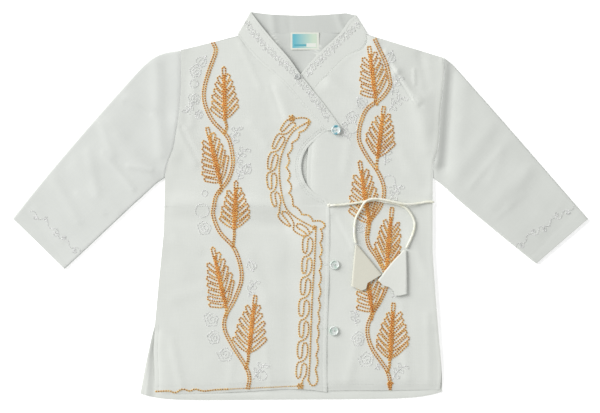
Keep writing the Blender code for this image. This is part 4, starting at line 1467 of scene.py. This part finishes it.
def build_cord(name, route, finish):
    """A satin cord on its route: slightly flat and uneven, as a turned tube of cloth is."""
    line = cord_points(route)
    sides = 14
    points, wound = [], []
    run = run_along(line)
    for k, (spot, aim) in enumerate(zip(line, ways(line))):
        aside = np.cross((0, 0, 1.0), aim)
        aside /= np.linalg.norm(aside)
        up = np.cross(aim, aside)
        end = min(1.0, 0.55 + 0.25 * min(k, len(line) - 1 - k))
        for j in range(sides):
            angle = 2 * math.pi * j / sides
            ripple = 1 + 0.045 * math.sin(2 * angle + run[k] * 0.9) + 0.03 * math.sin(angle * 3 - run[k] * 1.7)
            r = CORD_DIAMETER / 2 * ripple * end
            points.append(spot + aside * r * math.cos(angle) + up * r * 0.94 * math.sin(angle))
            wound.append((run[k] * 0.5, j / sides * 2.0, 0.0))
    faces = [tuple(reversed(f)) for f in grid_faces(len(line), sides, closed=True)]
    faces.append(tuple(range(sides)))
    last = (len(line) - 1) * sides
    faces.append(tuple(last + j for j in reversed(range(sides))))
    obj = new_mesh(name + "_cord", points, faces)
    attribute = obj.data.attributes.new("wound", "FLOAT_VECTOR", "POINT")
    attribute.data.foreach_set("vector", np.array(wound, np.float32).ravel())
    outward(obj)
    obj.data.materials.append(finish)
    return obj, line


def build_knot(name, spot, radius, finish):
    """A small flat knot of the cord where it is sewn to the front's edge."""
    ring_points = []
    x, y = spot
    z = float(over_top(np.array([x - 2.0]), np.array([y]))[0]) + 0.3
    for k in range(41):
        angle = 2 * math.pi * 1.5 * k / 40
        wide = radius * (0.62 + 0.12 * math.sin(2.0 * angle))
        ring_points.append((x + wide * math.cos(angle), y + wide * 0.9 * math.sin(angle),
                            z + 0.5 * math.sin(angle * 2 / 3)))
    return thread_tubes(name, [ring_points], radius * 0.5, finish, sides=10)


def outward(obj):
    work = bmesh.new()
    work.from_mesh(obj.data)
    bmesh.ops.recalc_face_normals(work, faces=work.faces)
    work.to_mesh(obj.data)
    work.free()


def turned_ring(profile, sides, middle):
    """Points and faces of a closed profile turned round an upright axis."""
    points, faces = [], []
    count = len(profile)
    for k in range(sides):
        angle = 2 * math.pi * k / sides
        for r, z in profile:
            points.append((middle[0] + r * math.cos(angle), middle[1] + r * math.sin(angle), middle[2] + z))
    for k in range(sides):
        for j in range(count):
            a, b = k * count + j, k * count + (j + 1) % count
            c, d = ((k + 1) % sides) * count + (j + 1) % count, ((k + 1) % sides) * count + j
            faces.append((a, b, c, d))
    return points, faces


def build_button(name, spot, finish, thread):
    """A two-hole button: a raised round rim, a dished face with real holes, and its thread.

    Its parts are shares of its radius.
    """
    x, y, radius, on = spot
    below = band_top if on == "band" else under_top
    ring = np.linspace(0, 2 * math.pi, 12)
    floor = float(np.max(below(x + radius * np.cos(ring), y + radius * np.sin(ring)))) + GAP
    angle = np.linspace(0, 2 * math.pi, 15)[:-1]
    rim = [(radius * 0.83 + radius * 0.17 * math.cos(a), radius * 0.21 + radius * 0.2 * math.sin(a)) for a in angle]
    points, faces = turned_ring(rim, 44, (x, y, floor))
    body = new_mesh(name + "_rim", points, faces)
    outward(body)
    flat = bpy.data.curves.new(name + "_face", "CURVE")
    flat.dimensions = "2D"
    flat.fill_mode = "BOTH"
    flat.extrude = radius * 0.075 * MM
    flat.bevel_depth = radius * 0.02 * MM
    flat.bevel_resolution = 2
    for share, r, sides in ((0.0, radius * 0.86, 44), (-0.2, radius * 0.1, 12), (0.2, radius * 0.1, 12)):
        line = flat.splines.new("POLY")
        line.points.add(sides - 1)
        for k, point in enumerate(line.points):
            a = 2 * math.pi * k / sides
            point.co = ((radius * share + r * math.cos(a)) * MM, r * math.sin(a) * MM, 0.0, 1.0)
        line.use_cyclic_u = True
    face = bpy.data.objects.new(name + "_face", flat)
    bpy.context.scene.collection.objects.link(face)
    bpy.context.view_layer.update()
    plate = bpy.data.meshes.new_from_object(face.evaluated_get(bpy.context.evaluated_depsgraph_get()))
    bpy.data.objects.remove(face)
    plate.transform(Matrix.Translation(Vector((x, y, floor + radius * 0.17)) * MM))
    plate.shade_smooth()
    plate.set_sharp_from_angle(angle=math.radians(40))
    plate_obj = bpy.data.objects.new(name + "_plate", plate)
    bpy.context.scene.collection.objects.link(plate_obj)
    joined = join([body, plate_obj], name + "_pearl")
    joined.data.materials.clear()
    joined.data.materials.append(finish)
    strands = []
    for side in (-0.045, 0.045):
        line = []
        for t in np.linspace(-1, 1, 9):
            high = radius * 0.30 + radius * 0.05 * (1 - t * t) - radius * 0.22 * max(0.0, abs(t) - 0.8) * 5
            line.append((x + t * radius * 0.2, y + side * radius, floor + high))
        strands.append(line)
    sewn = thread_tubes(name + "_thread", strands, radius * 0.035, thread)
    return joined, sewn


def join(objs, name):
    """Several meshes as one piece."""
    work = bmesh.new()
    for obj in objs:
        work.from_mesh(obj.data)
    mesh = bpy.data.meshes.new(name)
    work.to_mesh(mesh)
    work.free()
    for obj in objs:
        bpy.data.objects.remove(obj)
    mesh.shade_smooth()
    mesh.set_sharp_from_angle(angle=math.radians(50))
    made = bpy.data.objects.new(name, mesh)
    bpy.context.scene.collection.objects.link(made)
    return made


def thread_tubes(name, lines, radius, finish, sides=6):
    """Plain round threads along lines of points."""
    points, faces = [], []
    for line in lines:
        line = np.array(line, float)
        start = len(points)
        for spot, aim in zip(line, ways(line)):
            aside = np.cross((0.03, 0.05, 1.0), aim)
            aside /= np.linalg.norm(aside)
            up = np.cross(aim, aside)
            for j in range(sides):
                b = 2 * math.pi * j / sides
                points.append(spot + (aside * math.cos(b) + up * math.sin(b)) * radius)
        faces += [tuple(start + i for i in f) for f in grid_faces(len(line), sides, closed=True)]
        faces.append(tuple(start + j for j in range(sides)))
        last = start + (len(line) - 1) * sides
        faces.append(tuple(last + j for j in reversed(range(sides))))
    obj = new_mesh(name, points, faces)
    outward(obj)
    obj.data.materials.append(finish)
    return obj


def build_stage():
    corners = [(x * FLOOR_HALF, y * FLOOR_HALF, FLOOR_LEVEL) for x, y in ((-1, -1), (1, -1), (1, 1), (-1, 1))]
    floor = new_mesh("floor", corners, [(0, 1, 2, 3)])
    made, _, shader = node_material("white_paper", (0.97, 0.97, 0.97), 0.95)
    shader.inputs["Emission Color"].default_value = (1.0, 1.0, 1.0, 1.0)
    shader.inputs["Emission Strength"].default_value = FLOOR_GLOW
    floor.data.materials.append(made)


def build_light():
    world = bpy.data.worlds.new("studio")
    world.use_nodes = True
    world.node_tree.nodes["Background"].inputs["Color"].default_value = (1.0, 1.0, 1.0, 1.0)
    world.node_tree.nodes["Background"].inputs["Strength"].default_value = ROUND_LIGHT
    bpy.context.scene.world = world
    for name, toward, away, size, strength in LAMPS:
        lamp = bpy.data.lights.new(name, "AREA")
        lamp.energy = strength * math.pi * away**2
        lamp.size = size
        obj = bpy.data.objects.new(name, lamp)
        obj.location = Vector(toward).normalized() * away
        obj.rotation_euler = Vector(toward).to_track_quat("Z", "Y").to_euler()
        bpy.context.scene.collection.objects.link(obj)
    bpy.context.scene.view_settings.view_transform = "Standard"


def build_camera():
    lens = bpy.data.cameras.new("camera")
    lens.lens = LENS
    lens.sensor_width = SENSOR
    lens.sensor_fit = "HORIZONTAL"
    lens.clip_end = 20.0
    camera = bpy.data.objects.new("camera", lens)
    width = PIXEL * FRAME_PIXELS[0] * MM
    camera.location = (FRAME_MIDDLE[0] * MM, FRAME_MIDDLE[1] * MM, CLOTH_TOP * MM + width * LENS / SENSOR)
    bpy.context.scene.collection.objects.link(camera)
    bpy.context.scene.camera = camera


# The garment

build_camera()
build_stage()
build_light()
STITCHES = stitch_tree()

cotton = cotton_material("white_cotton", (0.70, 0.72, 0.68), (0.66, 0.68, 0.64), 0.0)
# Each sleeve's cotton is a little darker than the body's, the right one more so: painted shade. The turn follows the
# grain.
cotton_left_shaded = cotton_material("painted_shade_left_sleeve_cotton", (0.68, 0.70, 0.67), (0.64, 0.66, 0.63), 48.0)
cotton_right_shaded = cotton_material("painted_shade_right_sleeve_cotton", (0.665, 0.685, 0.65), (0.625, 0.645, 0.61), -48.0)
# A darker copy of the white cotton: painted shade for the hollow of the neck
cotton_painted_neck_shade = cotton_material("painted_neck_shade_cotton", (0.60, 0.62, 0.59), (0.56, 0.58, 0.55), 0.0)
bright = cotton_material("bright_cotton", (0.74, 0.755, 0.71), (0.70, 0.72, 0.67), 20.0)
lining = cotton_material("ivory_cotton", (0.665, 0.655, 0.56), (0.63, 0.62, 0.53), 30.0)
# Thread colours: the darkest stops paint the shadow in each stitch's eye and the palest the highlight at its loop's
# ends. The thread's own gold lies between.
gold = thread_material("gold_thread", (
    (0.0, (0.24, 0.055, 0.005)), (0.32, (0.50, 0.14, 0.013)), (0.46, (0.98, 0.42, 0.065)),
    (0.75, (1.0, 0.60, 0.14)), (1.0, (1.0, 0.80, 0.36)),
), 0.38, 0.1)
pale_gold = thread_material("pale_gold_thread", (
    (0.0, (0.28, 0.085, 0.009)), (0.32, (0.56, 0.20, 0.024)), (0.46, (1.0, 0.50, 0.10)),
    (0.75, (1.0, 0.66, 0.20)), (1.0, (1.0, 0.86, 0.46)),
), 0.38, 0.1)
rust = thread_material("rust_thread", (
    (0.0, (0.24, 0.045, 0.004)), (0.32, (0.50, 0.10, 0.009)), (0.46, (0.98, 0.32, 0.035)),
    (0.75, (1.0, 0.50, 0.09)), (1.0, (1.0, 0.76, 0.26)),
), 0.38, 0.1)
# White thread: grey at each eye as painted shadow, and some stitches grey at random
white_thread = thread_material("white_thread", (
    (0.0, (0.66, 0.67, 0.66)), (0.30, (0.78, 0.79, 0.78)), (0.46, (1.0, 1.0, 0.98)), (1.0, (1.0, 1.0, 1.0)),
), 0.22, 0.3, gains=(0.35, 1.0, 0.2))
sewing_thread = thread_material("sewing_thread", ((0.0, (0.58, 0.60, 0.57)), (0.5, (0.66, 0.68, 0.65)),
                                                  (1.0, (0.74, 0.76, 0.73))), 0.6, 0.1)
satin = satin_material()
pearl_blue = pearl_material("pearl_blue", (0.10, 0.42, 0.52), (0.72, 0.83, 0.82), (0.90, 0.94, 0.92), 170.0, 0.011)
pearl_green = pearl_material("pearl_green", (0.60, 0.74, 0.66), (0.76, 0.82, 0.78), (0.93, 0.95, 0.93), 190.0, 0.004)
pearl_clear = pearl_material("pearl_clear", (0.42, 0.44, 0.43), (0.60, 0.62, 0.60), (0.80, 0.82, 0.80), 260.0, 0.002)

back = build_back()
front_under = build_front_under()
front_over = build_front_over()
sleeve_left = build_sleeve("sleeve_left", SLEEVE_LEFT, LEFT_EDGE, -SEAM_GAP, 27.0)
sleeve_right = build_sleeve("sleeve_right", SLEEVE_RIGHT, RIGHT_EDGE, SEAM_GAP, 33.0)
collar = build_collar()
tab_left = build_tab("tassel_left", TAB_LEFT, TAB_LEFT_EDGE)
tab_right = build_tab("tassel_right", TAB_RIGHT, TAB_RIGHT_EDGE)

cloth = {
    "back": (back, cotton), "front_under": (front_under, cotton), "front_over": (front_over, cotton),
    "sleeve_left": (sleeve_left, cotton_left_shaded), "sleeve_right": (sleeve_right, cotton_right_shaded),
    "collar": (collar, cotton), "tassel_left": (tab_left, lining), "tassel_right": (tab_right, bright),
}
for node, (piece, finish) in cloth.items():
    piece.data.materials.clear()
    piece.data.materials.append(finish)
    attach(piece, "root")
    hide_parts(node)

# Painted shade: back and collar faces low in the neck's hollow get the darker cotton
for piece in (back, collar):
    piece.data.materials.append(cotton_painted_neck_shade)
    for face in piece.data.polygons:
        face.material_index = int(face.center.z < NECK_SHADE_BELOW * MM and face.center.y > NECK_SHADE_ABOVE_Y * MM)

cord_over, line_over = build_cord("tie_over", TIE_OVER_ROUTE, satin)
cord_side, line_side = build_cord("tie_side", TIE_SIDE_ROUTE, satin)
for piece, line, node, tab in ((cord_over, line_over, "tie_over", tab_right),
                               (cord_side, line_side, "tie_side", tab_left)):
    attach(piece, "root")
    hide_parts(node)

knot = build_knot("tie_over_knot", (34.2, 0.6), 2.0, satin)
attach(knot, "root")

for name, spot in BUTTONS.items():
    finish = {"button_wrap": pearl_blue, "button_neck": pearl_clear}.get(name, pearl_green)
    disc, sewn = build_button(name, spot, finish, white_thread)
    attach(disc, "root")
    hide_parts(name)
    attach(sewn, "root")

label_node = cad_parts["label"]
label_node.data.materials.clear()
label_node.data.materials.append(label_material())

# Embroidery
chain = loop_stitch(2.8, 2.15, 0.30, (1.3, 1.8))
close_chain = loop_stitch(2.6, 2.1, 0.30, (1.2, 1.6))
fine_chain = loop_stitch(2.2, 1.3, 0.15, (0.8, 0.7))
seam_stitch = run_stitch(2.3, 0.16)

on_over = surface_of(front_over)
on_under = surface_of(front_under)
on_collar = surface_of(collar)


vine_end = [rose(*VINE_KNOT, 0.4, 2.0), even(beside(VINE_TAIL, 0.7), 0.8), even(beside(VINE_TAIL, -0.7), 0.8)]
sew("vine_knot", [laid(on_under, line) for line in vine_end], close_chain, 1.8, 0.14, rust, 29)
embroider_panel("left", LEFT_VINE, LEAVES_OVER, on_over, 11)
embroider_panel("right", RIGHT_VINE, LEAVES_UNDER, on_under, 21)

border = [meander_line(BORDER_SPINE, BORDER_TURNS, 14.4, 0.26, 0.67, lead=[(-9.8, 102.0), (-13.0, 100.5)]),
          meander_line(BORDER_COLUMN, COLUMN_TURNS, 14.4, 0.21, 0.64, lead=[(13.0, -31.0)], tail=[(2.0, -209.0)])]
border += [curve(BORDER_SPINE, 0.8), curve(BORDER_COLUMN, 0.8)]
border += [wave_line(INNER_BORDER, 15.0, 3.6, -1.8), wave_line(INNER_COLUMN, 16.5, 2.6, -1.3)]
border += [curve(BORDER_FOOT, 0.8)]
border += [rose(x, y, size, x, 2.0) for x, y, size in KNOTS]
border += [curve(line, 0.8) for line in (BORDER_HEAD, BORDER_BEND, HEM_LINE)]
sew("scroll_border", [laid(on_over, line) for line in border], chain, 2.85, 0.07, pale_gold, 31)
sew("hem_chain", [laid(on_over, curve(HEM_END, 0.8))], fine_chain, 2.2, 0.1, pale_gold, 35)

for side, places, surface, seed in (("left", WHITES_OVER, on_over, 41), ("right", WHITES_UNDER, on_under, 43)):
    sew(f"white_flowers_{side}", [laid(surface, line) for line in white_lines(places)], fine_chain, 2.2, 0.2,
        white_thread, seed)

collar_lines = []
for spine in BAND_SPINES:
    base = curve(spine, 0.5)
    collar_lines.append(winding_line(base, BAND_PITCH, 3.4))
    for k in range(int((len(base) - 1) * 0.5 / (BAND_PITCH / 2))):
        at = min(len(base) - 1, round((k + 0.5) * BAND_PITCH / 2 / 0.5))
        x, y = base[at] - aside_of(base)[at] * (-2.0 if k % 2 else 2.0)
        collar_lines.append(rose(x, y, 2.6, k * 1.7, 1.0))
sew("collar_scroll", [laid(on_collar, line) for line in collar_lines], fine_chain, 2.3, 0.25, white_thread,
    47)

for side, sleeve in (("left", sleeve_left), ("right", sleeve_right)):
    base = curve(CUFF_SPINES[side], 0.5)
    cuff_lines = [winding_line(base, CUFF_PITCH, 2.6)]
    for k in range(CUFF_ROSES):
        x, y = base[round((k + 0.5) / CUFF_ROSES * (len(base) - 1))]
        cuff_lines.append(rose(x, y + (3.6 if k % 2 else -3.6), 2.6, k, 1.6))
    on_sleeve = surface_of(sleeve)
    sew(f"cuff_scroll_{side}", [laid(on_sleeve, line) for line in cuff_lines], fine_chain, 2.2, 0.2, white_thread,
        51)

# Sewing
over_edge = over_rows(1.0)[:, :2]
front_edge = over_edge[over_edge[:, 1] < 90.0]
facing_edge = even(front_edge[front_edge[:, 1] > 4.0], 0.8)
over_seams = [beside(facing_edge, -away) for away in TOPSTITCH_IN]
slit = np.array([(edge_x(LEFT_EDGE + LEFT_FRONT_SLIT, y) + 4.4, y) for y in np.arange(-142.0, -214.0, -1.0)])
over_seams += [even(slit, 0.8)]
sew("over_front_topstitch", [laid(on_over, line) for line in over_seams], seam_stitch, 2.9, 0.05, sewing_thread,
    61)
holes = []
for y in BUTTONHOLES:
    holes += [even([(x, y + side * 0.75) for x in BUTTONHOLE_ENDS], 0.5) for side in (-1, 1)]
sew("buttonholes", [laid(on_over, line) for line in holes], seam_stitch, 1.6, 0.1, sewing_thread, 71)
under_hem = [(x, UNDER_HEM[2]) for x in np.arange(*UNDER_HEM[:2], 1.0)]
under_seams = [even(line, 0.8) for line in (under_hem, *DART)]
sew("under_front_topstitch", [laid(on_under, line) for line in under_seams], seam_stitch, 2.9, 0.05, sewing_thread,
    63)
band_seams = []
for table in (BAND_OVER, BAND_UNDER):
    rows = smooth_rows(table, 1.0)
    seam, free = rows[:, :2], rows[:, 2:4]
    band_seams += [even(seam + (free - seam) * 0.09, 0.8), even(seam + (free - seam) * 0.9, 0.8)]
sew("collar_topstitch", [laid(on_collar, line) for line in band_seams], seam_stitch, 2.9, 0.05, sewing_thread,
    67)

for shape in (chain, close_chain, fine_chain, seam_stitch):
    bpy.data.objects.remove(shape)
